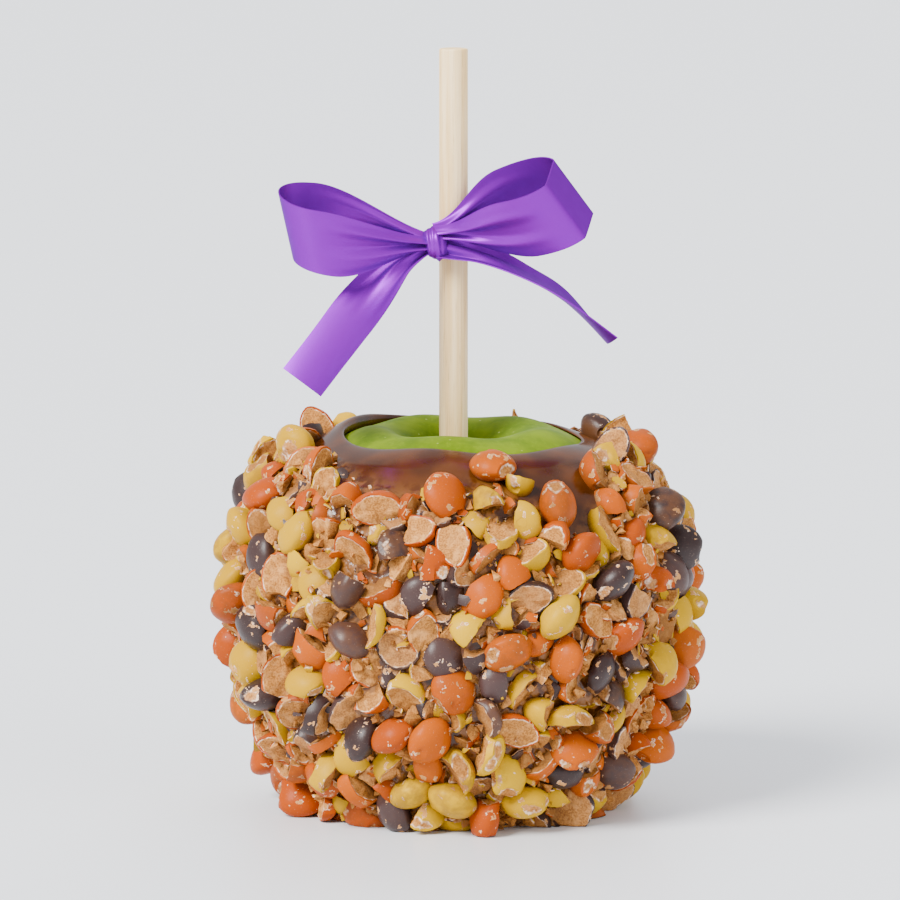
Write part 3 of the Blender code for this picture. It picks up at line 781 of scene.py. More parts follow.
def climbAt(points, placed):
    # How far the caramel climbs round the candies pressed into it, worked out a block at a time
    places = np.array([candy["place"] for candy in placed])
    feet = np.array([candy["reach"] for candy in placed]) * caramelShell["footShare"]
    climb, step = np.zeros(len(points)), 4000
    for start in range(0, len(points), step):
        block = points[start:start + step]
        away = np.linalg.norm(block[:, None, :] - places[None, :, :], axis=2) - feet[None, :]
        nearest = np.clip(away.min(axis=1), 0, None)
        climb[start:start + step] = np.exp(-(nearest / caramelShell["meniscusWidth"]) ** 2)
    return climb


def makeShellSurface():
    rows, columns = caramelShell["rows"], caramelShell["columns"]
    last = len(coatShape["outline"]) - 1
    points, outs, candyZone = [], [], []
    for i in range(rows):
        u = last * i / (rows - 1)
        for azimuth in azimuths(columns):
            place, out = coatPlace(u, azimuth)
            points.append(place)
            outs.append(out)
            candyZone.append(float(smoothStep(*caramelShell["candyEdge"], candyTop(azimuth) - place.z)))
    return np.array(points), np.array(outs), np.array(candyZone)


def lipAndCup(columns):
    turns = azimuths(columns)
    rings = [[lipPoint(turn, share, drop) for turn in turns] for share, drop in coatShape["lipProfile"]]
    cup = smoothLine(appleShape["outline"], caramelShell["cupRows"])
    topRow = next(i for i, (_, height) in enumerate(cup) if height > caramelShell["cupTop"])
    for i in range(topRow - 1, 0, -1):
        run, rise = cup[i + 1] - cup[i - 1]
        length = math.hypot(run, rise)
        radius, height = cup[i] * mm
        wider = radius + coatShape["gap"] * rise / length
        lower = height - coatShape["gap"] * run / length
        rings.append([around(turn, wider, lower + appleLobes(turn, radius)) for turn in turns])
    return rings


def caramelMaterial():
    finish, tree, shader = newMaterial("caramel")
    place = inMillimetres(tree)
    zone = attribute(tree, "candyZone")
    cloud = noiseAt(tree, place, *caramelShell["cloud"])
    fine = noiseAt(tree, place, *caramelShell["fine"])
    light = remap(tree, cloud, *caramelShell["cloudMask"])
    colour = mixColour(tree, light, caramelShell["deep"], caramelShell["body"])
    film = maths(tree, "MULTIPLY", remap(tree, fine, *caramelShell["filmMask"]), zone)
    filmColour = maths(tree, "MULTIPLY", film, caramelShell["filmColour"])
    colour = mixColour(tree, filmColour, colour, caramelShell["milky"])
    wire(tree, colour, shader.inputs["Base Color"])
    filmRoughness = maths(tree, "MULTIPLY", film, caramelShell["filmRoughness"])
    rough = maths(tree, "ADD", filmRoughness, caramelShell["roughness"])
    wire(tree, rough, shader.inputs["Roughness"])
    shader.inputs["Specular IOR Level"].default_value = caramelShell["gloss"]
    waves = maths(tree, "MULTIPLY", cloud, caramelShell["cloudBump"])
    height = maths(tree, "MULTIPLY_ADD", fine, film, waves)
    addBump(tree, shader, height, caramelShell["bump"])
    return finish


def makeCaramel():
    rows, columns = caramelShell["rows"], caramelShell["columns"]
    points, outs, candyZone = makeShellSurface()
    climb = climbAt(points, [*candies, *chips])
    coarse, fine = caramelShell["lumpScales"]
    lift = np.array([noise.noise(Vector(p) * coarse) + 0.5 * noise.noise(Vector(p) * fine) for p in points])
    raised = climb * caramelShell["meniscus"] * candyZone + lift * caramelShell["lumps"] * candyZone
    raised *= np.clip(points[:, 2] / caramelShell["calmFoot"], 0, 1)
    points = points + outs * raised[:, None]
    points[:, 2] = np.maximum(points[:, 2], 0.0)
    points = [Vector(p) for p in points]
    zone = list(candyZone)
    rings = lipAndCup(columns)
    for ring in rings:
        points += ring
        zone += [0.0] * columns
    count = rows + len(rings)
    faces = ringsToFaces(count, columns)
    capEnds(faces, count, columns, len(points), len(points) + 1)
    points += [Vector((0, 0, 0)), Vector((0, 0, appleShape["outline"][0][1] * mm - coatShape["gap"]))]
    zone += [0.0, 0.0]
    shell = addPiece("caramelShell", points, faces, caramelMaterial())
    storeValues(shell, "candyZone", zone)
    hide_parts("caramel_coat")


makeCaramel()
print("caramel made")


# Candy bodies: a flattened ball cut along its planes, with rough broken faces

candyBody = {
    # How often each edge of the ball is cut up, and the rings across a broken face
    "candyCuts": 4,
    "chipCuts": 2,
    "crumbCuts": 1,
    "candyRings": (0.32, 0.62),
    "chipRings": (0.5,),
    "rimPoint": 1.2,
    "nicks": (1, 2, 2, 3),
    "nickDepth": (0.05, 0.20),
    # The shell's sway and a broken face's relief: depth, and waves for each millimetre
    "sway": (0.40 * mm, 0.22),
    "breakRelief": ((0.68 * mm, 0.45), (0.26 * mm, 1.3)),
    "rimShare": 0.55,
    "edgeRing": 0.55 * mm,
    "edgeStep": 0.8 * mm,
    "sharpAngle": 32,
    "floor": 0.12 * mm,
    "firstShare": 0.4,
    "ringGap": 0.1,
    "noiseStep": 9e3,
    "depthScale": 0.82,
    "fillingDepth": 2.0,
    "nickSeed": 5,
}


def ballTemplate(cuts):
    bm = bmesh.new()
    bmesh.ops.create_icosphere(bm, subdivisions=1, radius=1.0)
    bmesh.ops.subdivide_edges(bm, edges=bm.edges[:], cuts=cuts, use_grid_fill=True)
    for v in bm.verts:
        v.co.normalize()
        v.co.z = math.copysign(candyRule["flatness"] * abs(v.co.z) ** candyBody["rimPoint"], v.co.z)
    return bm


templates = {candyBody[key]: ballTemplate(candyBody[key]) for key in ("candyCuts", "chipCuts", "crumbCuts")}


def breakOff(bm, normal, offset):
    whole = [*bm.verts, *bm.edges, *bm.faces]
    cut = bmesh.ops.bisect_plane(bm, geom=whole, plane_co=normal * offset, plane_no=normal, clear_outer=True)
    edges = [e for e in cut["geom_cut"] if isinstance(e, bmesh.types.BMEdge)]
    if not edges:
        return
    made = bmesh.ops.contextual_create(bm, geom=edges)["faces"]
    for face in made:
        face.material_index = 1


def splitLongEdges(bm, step):
    for edge in [e for e in bm.edges if all(f.material_index for f in e.link_faces)]:
        count = int(edge.calc_length() / step)
        for k in range(count, 0, -1):
            bmesh.utils.edge_split(edge, edge.verts[0], 1 / (k + 1))


def fillBreak(bm, face, ringShares, firstRing):
    corners = list(face.verts)
    centre = sum((v.co for v in corners), Vector()) / len(corners)
    size = sum((v.co - centre).length for v in corners) / len(corners)
    normal = face.normal.copy()
    bm.faces.remove(face)
    first = min(candyBody["firstShare"], firstRing / max(size, 1e-9))
    later = [share for share in ringShares if share > first + candyBody["ringGap"]]
    shares = [first, *later] if ringShares else []
    outer, inside = corners, []
    for share in shares:
        ring = [bm.verts.new(v.co.lerp(centre, share)) for v in corners]
        inside += ring
        for i in range(len(ring)):
            j = (i + 1) % len(ring)
            bm.faces.new((outer[i], outer[j], ring[j], ring[i]))
        outer = ring
    middle = bm.verts.new(centre)
    for i in range(len(outer)):
        bm.faces.new((outer[i], outer[(i + 1) % len(outer)], middle))
    return corners, [*inside, middle], normal


def nicksOf(rng):
    # Small chips knocked off the shell all round
    cuts = []
    for _ in range(rng.choice(candyBody["nicks"])):
        direction = Vector([rng.gauss(0, 1) for _ in range(3)]).normalized()
        reach = Vector((direction.x, direction.y, direction.z * candyRule["flatness"])).length
        cuts.append((direction, reach * (1 - rng.uniform(*candyBody["nickDepth"]))))
    return cuts


def candyShape(candy, cuts, rings, nicks=()):
    bm = templates[cuts].copy()
    for normal, offset in [*candy["cuts"], *nicks]:
        breakOff(bm, Vector(normal), offset)
    scale = candy["radius"]
    if not bm.faces:
        bm.free()
        return None
    splitLongEdges(bm, candyBody["edgeStep"] / scale)
    bm.normal_update()
    broken = [f for f in bm.faces if f.material_index]
    moves, relief = {}, candyBody["breakRelief"]
    seed = Vector([where * candyBody["noiseStep"] for where in candy["place"]])
    for face in broken:
        if len(face.verts) < 3:
            continue
        corners, inside, normal = fillBreak(bm, face, rings, candyBody["edgeRing"] / scale)
        for verts, strength in ((corners, candyBody["rimShare"]), (inside, 1.0)):
            for v in verts:
                at = v.co * (scale / mm)
                rough = sum(noise.noise(at * waves + seed) * depth for depth, waves in relief)
                moves.setdefault(v, Vector()).xyz += normal * (rough * strength / scale)
    depths = []
    bm.verts.index_update()
    for v in bm.verts:
        upward = (abs(v.co.z) / candyRule["flatness"]) ** (1 / candyBody["rimPoint"])
        reach = Vector((v.co.x, v.co.y, upward)).length
        depths.append(max(0.0, 1 - reach) * scale / mm * candyBody["depthScale"])
    for v, move in moves.items():
        v.co += move
    depth, waves = candyBody["sway"]
    for v in bm.verts:
        v.co += noise.noise_vector(v.co * (scale / mm * waves) + seed) * (depth / scale)
    points = np.array([v.co[:] for v in bm.verts]) * scale
    turn = np.array(candy["matrix"])
    points = points @ turn[:3, :3].T + turn[:3, 3]
    rise = (points - np.array(candy["place"])) @ np.array(candy["out"]) / mm
    points[:, 2] = np.maximum(points[:, 2], candyBody["floor"])
    faces = [tuple(v.index for v in f.verts) for f in bm.faces]
    bm.free()
    return points, faces, depths, rise


def joinShapes(name, shapes, finish):
    points, faces, values, start = [], [], {"sugarDepth": [], "candyTone": [], "riseAbove": []}, 0
    for shapePoints, shapeFaces, depths, rise, tone in shapes:
        points.append(shapePoints)
        faces += [tuple(i + start for i in f) for f in shapeFaces]
        values["sugarDepth"] += list(depths)
        values["riseAbove"] += list(rise)
        values["candyTone"] += [tone] * len(shapePoints)
        start += len(shapePoints)
    piece = addPiece(name, np.concatenate(points), faces, finish, candyBody["sharpAngle"])
    for key, numbers in values.items():
        storeValues(piece, key, numbers)
    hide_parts("caramel_coat")


# Candy finish: sugar shell, white sugar under it, tan filling, all from the depth below the shell

candyLook = {
    "orange": {
        "shell": (0.40, 0.077, 0.0003, 1),
        "shade": (0.32, 0.047, 0.0002, 1),
        "scuffs": 0.62,
        "frost": 0.55,
        "gloss": 0.10,
    },
    "yellow": {
        "shell": (0.53, 0.300, 0.0003, 1),
        "shade": (0.44, 0.235, 0.0002, 1),
        "scuffs": 0.60,
        "frost": 0.4,
        "gloss": 0.08,
    },
    "brown": {
        "shell": (0.052, 0.026, 0.023, 1),
        "shade": (0.024, 0.0105, 0.009, 1),
        "scuffs": 0.75,
        "frost": 0.4,
        "gloss": 0.30,
    },
    "filling": {
        "shell": (0.41, 0.165, 0.035, 1),
        "shade": (0.26, 0.095, 0.020, 1),
        "scuffs": 0.3,
        "frost": 0.2,
        "gloss": 0.10,
    },
    "sugar": (0.84, 0.62, 0.46, 1),
    "tan": (0.50, 0.208, 0.045, 1),
    "tanDark": (0.25, 0.093, 0.018, 1),
    "tanPale": (0.68, 0.330, 0.105, 1),
    # The brown below is a real caramel film on some candies, and painted shade low in the gaps round every
    # candy's foot
    "stainAndShade": (0.120, 0.042, 0.009, 1),
    "shellDepth": (0.30, 0.42),
    "sugarDepth": (0.44, 0.64),
    "wornDepth": 1.25,
    # Noise: waves for each millimetre, detail, roughness
    "grain": (2.6, 4.0, 0.65),
    "patch": (0.38, 3.0, 0.6),
    "ragged": (1.25, 3.0, 0.6),
    "crust": (0.62, 1.0),
    # Where a mask starts and ends, and then its own range where that isn't 0 to 1
    "wornPatches": (0.57, 0.70),
    "tanGrain": (0.36, 0.62),
    "palePatches": (0.45, 0.75, 0, 0.7),
    "darkFillings": (0.35, 1.0, 0.0, 0.55),
    "shellTones": (0.15, 0.95),
    "frostGrain": (0.60, 0.74, 0.0, 0.30),
    "crustPatches": (0.42, 0.62, 0.12, 1.0),
    "filmedCandies": (0.55, 0.95, 0.0, 0.45),
    "filmPatches": (0.30, 0.60),
    # Candies darken towards their feet: caramel soaking in, and painted shade in the gaps between them
    "soakAndShadeRise": (1.6, 4.6, 0.95, 0.0),
    "toneShift": 137.0,
    "raggedDepth": 0.55,
    "darkPick": 3.7,
    "filmPick": 7.3,
    "soakAndShadePatch": 2.6,
    "soakAndShadeSpared": 0.45,
    "bareRoughness": 0.62,
    "shellSmoother": 0.22,
    "shellCalmer": 0.85,
    "shellStep": 0.6,
    "bump": 0.55,
    "bumpReach": 0.35 * mm,
}


def candyGroup():
    tree, given, result = newGroup(
        "brokenCandy",
        (
            ("Place", "NodeSocketVector", None),
            ("Depth", "NodeSocketFloat", 0.0),
            ("Tone", "NodeSocketFloat", 0.5),
            ("Rise", "NodeSocketFloat", 3.0),
            ("Shell", "NodeSocketColor", (1, 0.3, 0, 1)),
            ("Shade", "NodeSocketColor", (0.6, 0.1, 0, 1)),
            ("Scuffs", "NodeSocketFloat", 0.5),
            ("Frost", "NodeSocketFloat", 0.5),
        ),
        (("Colour", "NodeSocketColor"), ("Roughness", "NodeSocketFloat"), ("Height", "NodeSocketFloat")),
    )
    look = candyLook

    # Each candy has its own part of the noise
    toneShift = addNode(tree, "ShaderNodeCombineXYZ")
    wire(tree, maths(tree, "MULTIPLY", given["Tone"], look["toneShift"]), toneShift.inputs["X"])
    shifted = addNode(tree, "ShaderNodeVectorMath", operation="ADD")
    wire(tree, given["Place"], shifted.inputs[0])
    wire(tree, toneShift.outputs[0], shifted.inputs[1])
    place = shifted.outputs[0]
    grain = noiseAt(tree, place, *look["grain"])
    patch = noiseAt(tree, place, *look["patch"])
    ragged = noiseAt(tree, place, *look["ragged"])

    # How deep below the shell, with a ragged edge and worn patches
    worn = maths(tree, "MULTIPLY", remap(tree, patch, *look["wornPatches"]), given["Scuffs"])
    swing = maths(tree, "MULTIPLY", maths(tree, "SUBTRACT", ragged, 0.5), look["raggedDepth"])
    depth = maths(tree, "ADD", given["Depth"], swing)
    depth = maths(tree, "MULTIPLY_ADD", worn, look["wornDepth"], depth)
    shellMask = remap(tree, depth, *look["shellDepth"], 1.0, 0.0)
    sugarMask = remap(tree, depth, *look["sugarDepth"], 1.0, 0.0)

    # Filling, shell and the sugar crust between them
    filling = mixColour(tree, remap(tree, grain, *look["tanGrain"]), look["tanDark"], look["tan"])
    filling = mixColour(tree, remap(tree, patch, *look["palePatches"]), filling, look["tanPale"])
    darker = maths(tree, "FRACT", maths(tree, "MULTIPLY", given["Tone"], look["darkPick"]))
    filling = mixColour(tree, remap(tree, darker, *look["darkFillings"]), filling, look["tanDark"])
    shell = mixColour(tree, remap(tree, given["Tone"], *look["shellTones"]), given["Shade"], given["Shell"])
    frost = maths(tree, "MULTIPLY", remap(tree, grain, *look["frostGrain"]), given["Frost"])
    shell = mixColour(tree, frost, shell, look["sugar"])
    crust = remap(tree, noiseAt(tree, place, *look["crust"]), *look["crustPatches"])
    crust = maths(tree, "MULTIPLY", sugarMask, crust)
    colour = mixColour(tree, crust, filling, look["sugar"])
    colour = mixColour(tree, shellMask, colour, shell)

    # A film of caramel on some candies, and caramel soaking in round every foot, which doubles as painted
    # shade low in the gaps between candies
    filmed = maths(tree, "FRACT", maths(tree, "MULTIPLY", given["Tone"], look["filmPick"]))
    filmed = remap(tree, filmed, *look["filmedCandies"])
    filmed = maths(tree, "MULTIPLY", filmed, remap(tree, patch, *look["filmPatches"]))
    colour = mixColour(tree, filmed, colour, look["stainAndShade"])
    # Painted shade, partly real caramel soaking in: the lower a point sits over the caramel, the darker it is
    soakAndShadeLevel = maths(tree, "ADD", given["Rise"], maths(tree, "MULTIPLY", patch, look["soakAndShadePatch"]))
    soakAndShade = remap(tree, soakAndShadeLevel, *look["soakAndShadeRise"])
    bareness = maths(tree, "SUBTRACT", 1.0, maths(tree, "MULTIPLY", shellMask, look["soakAndShadeSpared"]))
    soakAndShade = maths(tree, "MULTIPLY", soakAndShade, bareness)
    colour = mixColour(tree, soakAndShade, colour, look["stainAndShade"])
    wire(tree, colour, result["Colour"])

    smoother = maths(tree, "MULTIPLY", shellMask, look["shellSmoother"])
    wire(tree, maths(tree, "SUBTRACT", look["bareRoughness"], smoother), result["Roughness"])
    bare = maths(tree, "SUBTRACT", 1.0, maths(tree, "MULTIPLY", shellMask, look["shellCalmer"]))
    height = maths(tree, "MULTIPLY", maths(tree, "ADD", grain, ragged), bare)
    wire(tree, maths(tree, "MULTIPLY_ADD", shellMask, look["shellStep"], height), result["Height"])
    return tree


brokenCandy = candyGroup()


def candyMaterial(colour):
    finish, tree, shader = newMaterial(colour + "Candy")
    group = addNode(tree, "ShaderNodeGroup", node_tree=brokenCandy)
    wire(tree, inMillimetres(tree), group.inputs["Place"])
    for socket, name in (("Depth", "sugarDepth"), ("Tone", "candyTone"), ("Rise", "riseAbove")):
        wire(tree, attribute(tree, name), group.inputs[socket])
    for socket in ("Shell", "Shade", "Scuffs", "Frost"):
        group.inputs[socket].default_value = candyLook[colour][socket.lower()]
    wire(tree, group.outputs["Colour"], shader.inputs["Base Color"])
    wire(tree, group.outputs["Roughness"], shader.inputs["Roughness"])
    shader.inputs["Specular IOR Level"].default_value = candyLook[colour]["gloss"]
    addBump(tree, shader, group.outputs["Height"], candyLook["bump"], candyLook["bumpReach"])
    return finish


finishes = {colour: candyMaterial(colour) for colour in (*candyRule["colours"], "filling")}


def makeCandies():
    rng = random.Random(candyBody["nickSeed"])
    shapes = {colour: [] for colour in (*candyRule["colours"], "filling")}
    wholes = {colour: [] for colour in candyRule["colours"]}
    for candy in candies:
        made = candyShape(candy, candyBody["candyCuts"], candyBody["candyRings"], nicksOf(rng))
        if made:
            kind = wholes if candy["form"] in ("whole", "half") else shapes
            kind[candy["colour"]].append((*made, rng.random()))
    for colour, parts in wholes.items():
        joinShapes(colour + "Candies", parts, finishes[colour])
    for colour in candyRule["colours"]:
        joinShapes(colour + "Fragments", shapes[colour], finishes[colour])
    small = {colour: [] for colour in (*candyRule["colours"], "filling")}
    for chip in chips:
        made = candyShape(chip, candyBody["chipCuts"], candyBody["chipRings"])
        if made:
            points, faces, depths, rise = made
            if chip["colour"] == "filling":
                depths = [depth + candyBody["fillingDepth"] for depth in depths]
            small[chip["colour"]].append((points, faces, depths, rise, rng.random()))
    for colour, parts in small.items():
        joinShapes(colour + "Chips", parts, finishes[colour])


makeCandies()
print("candies and chips made")


# Crumbs and thin flakes of shell, dropped onto what lies there

crumbRule = {
    "seed": 33,
    "count": 1500,
    "size": (0.28, 0.95),
    "flakes": 170,
    "flakeSize": (1.1, 2.3),
    "flakeThickness": 0.42 * mm,
    "deepest": 3.6 * mm,
    "lowest": 1.2 * mm,
    # The candies' edge: how far over it none lies, where they thin out, and how many are left out there
    "edge": (2 * mm, -3 * mm, 0.7),
    "rayStart": 12,
    "rayReach": 20 * mm,
    "leastLean": 0.25,
    "sink": 0.3,
    "rise": 3.0,
    "flakeRise": 4.0,
    "flakeCorners": (5, 8),
    "flakeSway": 0.3,
    "flakeNarrow": (0.55, 0.8),
    "flakeLong": (0.8, 1.15),
    "flakeSteps": (0.0, 0.34, 0.67),
    "flakeRings": (1.0, 0.55, 0.0),
    "flakeSides": ((1, 0.0), (-1, 0.62)),
    "flakeBulge": 0.16,
    "flakeTip": 55,
    "flakeLift": 0.35,
    "colours": ("orange", "yellow", "brown", "filling"),
    "colourShares": (0.28, 0.22, 0.16, 0.34),
    "flakeShares": (0.5, 0.32, 0.18, 0.0),
}


def surfaceTree():
    points, faces = [], []
    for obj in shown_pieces():
        if not (obj.name.endswith(("Candies", "Fragments", "Chips")) or obj.name == "caramelShell"):
            continue
        start = len(points)
        points += [v.co.copy() for v in obj.data.vertices]
        faces += [tuple(i + start for i in p.vertices) for p in obj.data.polygons]
    return BVHTree.FromPolygons(points, faces)


def dropPlace(rng, tree):
    last = len(coatShape["outline"]) - 1
    widest = max(radius for radius, _ in coatShape["outline"])
    farthest, thinner, leftOut = crumbRule["edge"]
    while True:
        u, azimuth = rng.uniform(0.5, last), rng.uniform(-180, 180)
        radius, height = smoothPoint(coatShape["outline"], u)
        above = height * mm - candyTop(azimuth)
        if rng.random() > radius / widest or above > farthest:
            continue
        if above > thinner and rng.random() < leftOut:
            continue
        place, out = coatPlace(u, azimuth)
        start = place + out * crumbRule["rayStart"] * mm
        hit, normal, _, _ = tree.ray_cast(start, -out, crumbRule["rayReach"])
        if hit is None:
            continue
        height = (hit - place).dot(out)
        if height > crumbRule["deepest"] * rng.random() ** 0.7 or hit.z < crumbRule["lowest"]:
            continue
        return hit, normal if normal.dot(out) > crumbRule["leastLean"] else out


def flakeShape(rng, size, place, out):
    corners = rng.randrange(*crumbRule["flakeCorners"])
    ring = []
    for i in range(corners):
        angle = 2 * math.pi * (i + rng.uniform(-crumbRule["flakeSway"], crumbRule["flakeSway"])) / corners
        narrow, reach = rng.uniform(*crumbRule["flakeNarrow"]), rng.uniform(*crumbRule["flakeLong"])
        ring.append(Vector((math.cos(angle), math.sin(angle) * narrow, 0)) * reach)
    outline = []
    for i in range(corners):
        outline += [ring[i].lerp(ring[(i + 1) % corners], step) for step in crumbRule["flakeSteps"]]
    points, depths = [], []
    for side, depth in crumbRule["flakeSides"]:
        for share in crumbRule["flakeRings"]:
            for p in outline if share else [Vector()]:
                bulge = crumbRule["flakeBulge"] * size * mm * (1 - (p * share).length_squared)
                lift = bulge + side * crumbRule["flakeThickness"] / 2
                points.append(p * share * size * mm + Vector((0, 0, lift)))
                depths.append(depth)
    n = len(outline)
    faces = []
    for base, flip in ((0, False), (2 * n + 1, True)):
        for i in range(n):
            j = (i + 1) % n
            quad = (base + i, base + j, base + n + j, base + n + i)
            fan = (base + n + i, base + n + j, base + 2 * n)
            faces += [quad[::-1], fan[::-1]] if flip else [quad, fan]
    for i in range(n):
        j = (i + 1) % n
        faces.append((i, 2 * n + 1 + i, 2 * n + 1 + j, j))
    upright = out.to_track_quat("Z", "Y").to_matrix()
    lean = math.radians(rng.uniform(0, crumbRule["flakeTip"]))
    tipped = Matrix.Rotation(lean, 3, Vector((rng.gauss(0, 1), rng.gauss(0, 1), 0)))
    matrix = upright @ tipped @ Matrix.Rotation(rng.uniform(0, 2 * math.pi), 3, "Z")
    points = np.array([(matrix @ p + place + out * crumbRule["flakeLift"] * mm)[:] for p in points])
    points[:, 2] = np.maximum(points[:, 2], candyBody["floor"])
    return points, faces, depths, [crumbRule["flakeRise"]] * len(points)


def makeCrumbs():
    rng = random.Random(crumbRule["seed"])
    tree = surfaceTree()
    crumbs = {colour: [] for colour in crumbRule["colours"]}
    smallest, largest = crumbRule["size"]
    for _ in range(crumbRule["count"]):
        colour = pick(rng, crumbRule["colours"], crumbRule["colourShares"])
        crumb = newChip(rng, smallest + (largest - smallest) * rng.random() ** 2, colour)
        place, out = dropPlace(rng, tree)
        crumb = pressed(crumb, place, out, crumb["height"] * crumbRule["sink"])
        made = candyShape(crumb, candyBody["crumbCuts"], ())
        if made:
            points, faces, depths, _ = made
            shift = candyBody["fillingDepth"] if colour == "filling" else 0.0
            depths = [depth + shift for depth in depths]
            crumbs[colour].append((points, faces, depths, [crumbRule["rise"]] * len(points), rng.random()))
    for _ in range(crumbRule["flakes"]):
        colour = pick(rng, crumbRule["colours"], crumbRule["flakeShares"])
        place, out = dropPlace(rng, tree)
        made = flakeShape(rng, rng.uniform(*crumbRule["flakeSize"]), place, out)
        crumbs[colour].append((*made, rng.random()))
    for colour, parts in crumbs.items():
        joinShapes(colour + "Crumbs", parts, finishes[colour])


makeCrumbs()
print("crumbs made")


# The stick keeps its CAD shape and gets pale wood

woodLook = {
    "pale": (0.95, 0.71, 0.38, 1),
    "warm": (0.80, 0.52, 0.21, 1),
    "line": (0.42, 0.22, 0.07, 1),
    "roughness": 0.55,
    "grainStretch": (1.0, 1.0, 0.035),
    "bands": (0.55, 3.0, 0.55),
    "bandMask": (0.35, 0.68),
    "fibres": (3.4, 3.0, 0.6),
    "fibreMask": (0.54, 0.74, 0, 0.55),
    "bump": 0.25,
    "bumpReach": 0.2 * mm,
}


def woodMaterial():
    finish, tree, shader = newMaterial("paleWood")
    along = stretched(tree, inMillimetres(tree), woodLook["grainStretch"])
    bands = noiseAt(tree, along, *woodLook["bands"])
    fibres = noiseAt(tree, along, *woodLook["fibres"])
    colour = mixColour(tree, remap(tree, bands, *woodLook["bandMask"]), woodLook["pale"], woodLook["warm"])
    colour = mixColour(tree, remap(tree, fibres, *woodLook["fibreMask"]), colour, woodLook["line"])
    wire(tree, colour, shader.inputs["Base Color"])
    shader.inputs["Roughness"].default_value = woodLook["roughness"]
    addBump(tree, shader, fibres, woodLook["bump"], woodLook["bumpReach"])
    return finish


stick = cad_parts["stick"]
stick.data.materials.clear()
stick.data.materials.append(woodMaterial())
print("stick finished")


# The ribbon: one satin ribbon tied in a bow, with its places measured from the stick

ribbonShape = {
    "width": 15.9 * mm,
    "thickness": 0.30 * mm,
    "loopRows": 96,
    "tailRows": 60,
    "across": 36,
    "knot": Vector((-3.9, -6.4, 125.6)) * mm,
    "knotRadii": Vector((2.7, 3.1, 3.6)) * mm,
    "knotLean": 0.2,
    "knotRings": 40,
    "knotSegments": 64,
    "knotCreases": (0.055, 0.03),
    "pinch": 0.18,
    "pleat": 1.1 * mm,
    "tailPleat": 0.8 * mm,
    "tailCup": 1.3 * mm,
    "stickRadius": 3.175 * mm,
    "wrapHeight": 5.2 * mm,
    "wrapThickness": 0.9 * mm,
    "wrapSteps": 14,
    "wrapColumns": 64,
    "wrapWave": 0.18 * mm,
    "wrapEdge": 0.5 * mm,
    "sharpAngle": 70,
    "knotSharpAngle": 60,
    "loops": (
        {
            "length": 31.2 * mm,
            "bulge": 9.6 * mm,
            "heading": Vector((-1.0, -0.10, 0.16)),
            "axis": Vector((-0.19, -0.30, 0.93)),
            "shear": 0.6 * mm,
            "reach": 0.75,
            "lift": 0.0,
            "crease": 0.0,
            "phase": 0.4,
        },
        {
            "length": 32.8 * mm,
            "bulge": 9.8 * mm,
            "heading": Vector((0.96, -0.14, 0.36)),
            "axis": Vector((-0.55, -0.34, 0.77)),
            "shear": 0.9 * mm,
            "reach": 0.58,
            "lift": 2.6 * mm,
            "crease": 0.045,
            "phase": 1.7,
        },
    ),
    "tails": (
        {
            "route": (
                (-4.8, -6.2, 125.0), (-12.4, -8.2, 120.8), (-19.4, -11.0, 112.8), (-26.0, -13.4, 104.0),
                (-32.4, -14.6, 95.4),
            ),
            "twist": (20, 34, 50, 54, 54),
            "reach": 0.62,
            "pinch": 0.18,
            "phase": 0.9,
        },
        {
            "route": (
                (-3.2, -7.2, 125.2), (5.6, -7.6, 123.2), (14.6, -8.6, 119.4), (23.8, -9.4, 113.9),
                (34.0, -9.8, 104.0),
            ),
            "twist": (-14, -58, -80, -88, -101),
            "reach": 0.90,
            "pinch": 0.34,
            "phase": 2.6,
        },
    ),
}


def ribbonRow(centre, across, out, gather, pleat, phase, cup=0.0):
    row, count = [], ribbonShape["across"]
    for j in range(count + 1):
        v = 2 * j / count - 1
        fold = pleat * (math.cos(2 * math.pi * v) + 0.22 * math.cos(4.6 * math.pi * v + phase)) + cup * v * v
        row.append(centre + across * (v * gather * ribbonShape["width"] / 2) + out * fold)
    return row


def gathered(share, reach, pinch):
    t = min(1.0, share / reach)
    return pinch + (1 - pinch) * t * t * (3 - 2 * t)


def loopRows(length, bulge, heading, axis, shear, reach, lift, crease, phase):
    across = axis.normalized()
    ahead = (heading - across * heading.dot(across)).normalized()
    behind = ahead.cross(across) if ahead.cross(across).y > 0 else -ahead.cross(across)
    slope = heading.normalized() - ahead * heading.normalized().dot(ahead)
    rows = []
    for i in range(ribbonShape["loopRows"] + 1):
        s = i / ribbonShape["loopRows"]
        far, deep = math.sin(math.pi * s) ** 2, math.sin(2 * math.pi * s)
        flat = min(far, 1 - crease * (1 - 2 * deep))
        place = ahead * (length * flat) + behind * (bulge * deep * far**0.8 + 0.9 * mm * (1 - 2 * s))
        place += across * (shear * deep * far) + Vector((0, 0, lift * (1 - far) ** 3)) + slope * length * flat
        gather = gathered(far, reach, ribbonShape["pinch"])
        pleat = ribbonShape["pleat"] * max(0.0, 1 - far / 0.8) ** 1.1
        rows.append(ribbonRow(ribbonShape["knot"] + place, across, behind, gather, pleat, phase + 2 * s))
    return rows


def tailRows(route, twist, reach, pinch, phase):
    rows, sight = [], Vector((0, 1, 0))
    for i in range(ribbonShape["tailRows"] + 1):
        share = i / ribbonShape["tailRows"]
        u = (len(route) - 1) * share
        here = Vector(smoothPoint(route, u)) * mm
        ahead = Vector(smoothPoint(route, u + 0.05)) - Vector(smoothPoint(route, u - 0.05))
        angle = float(smoothPoint([(t,) for t in twist], (len(twist) - 1) * share)[0])
        flat = ahead.cross(sight).normalized()
        across = Matrix.Rotation(math.radians(angle), 3, ahead) @ flat
        gather = gathered(share, reach, pinch)
        pleat = ribbonShape["tailPleat"] * max(0.0, 1 - share / 0.6) ** 1.2
        out, cup = ahead.cross(across).normalized(), ribbonShape["tailCup"] * share
        rows.append(ribbonRow(here, across, out, gather, pleat, phase, cup))
    return rows


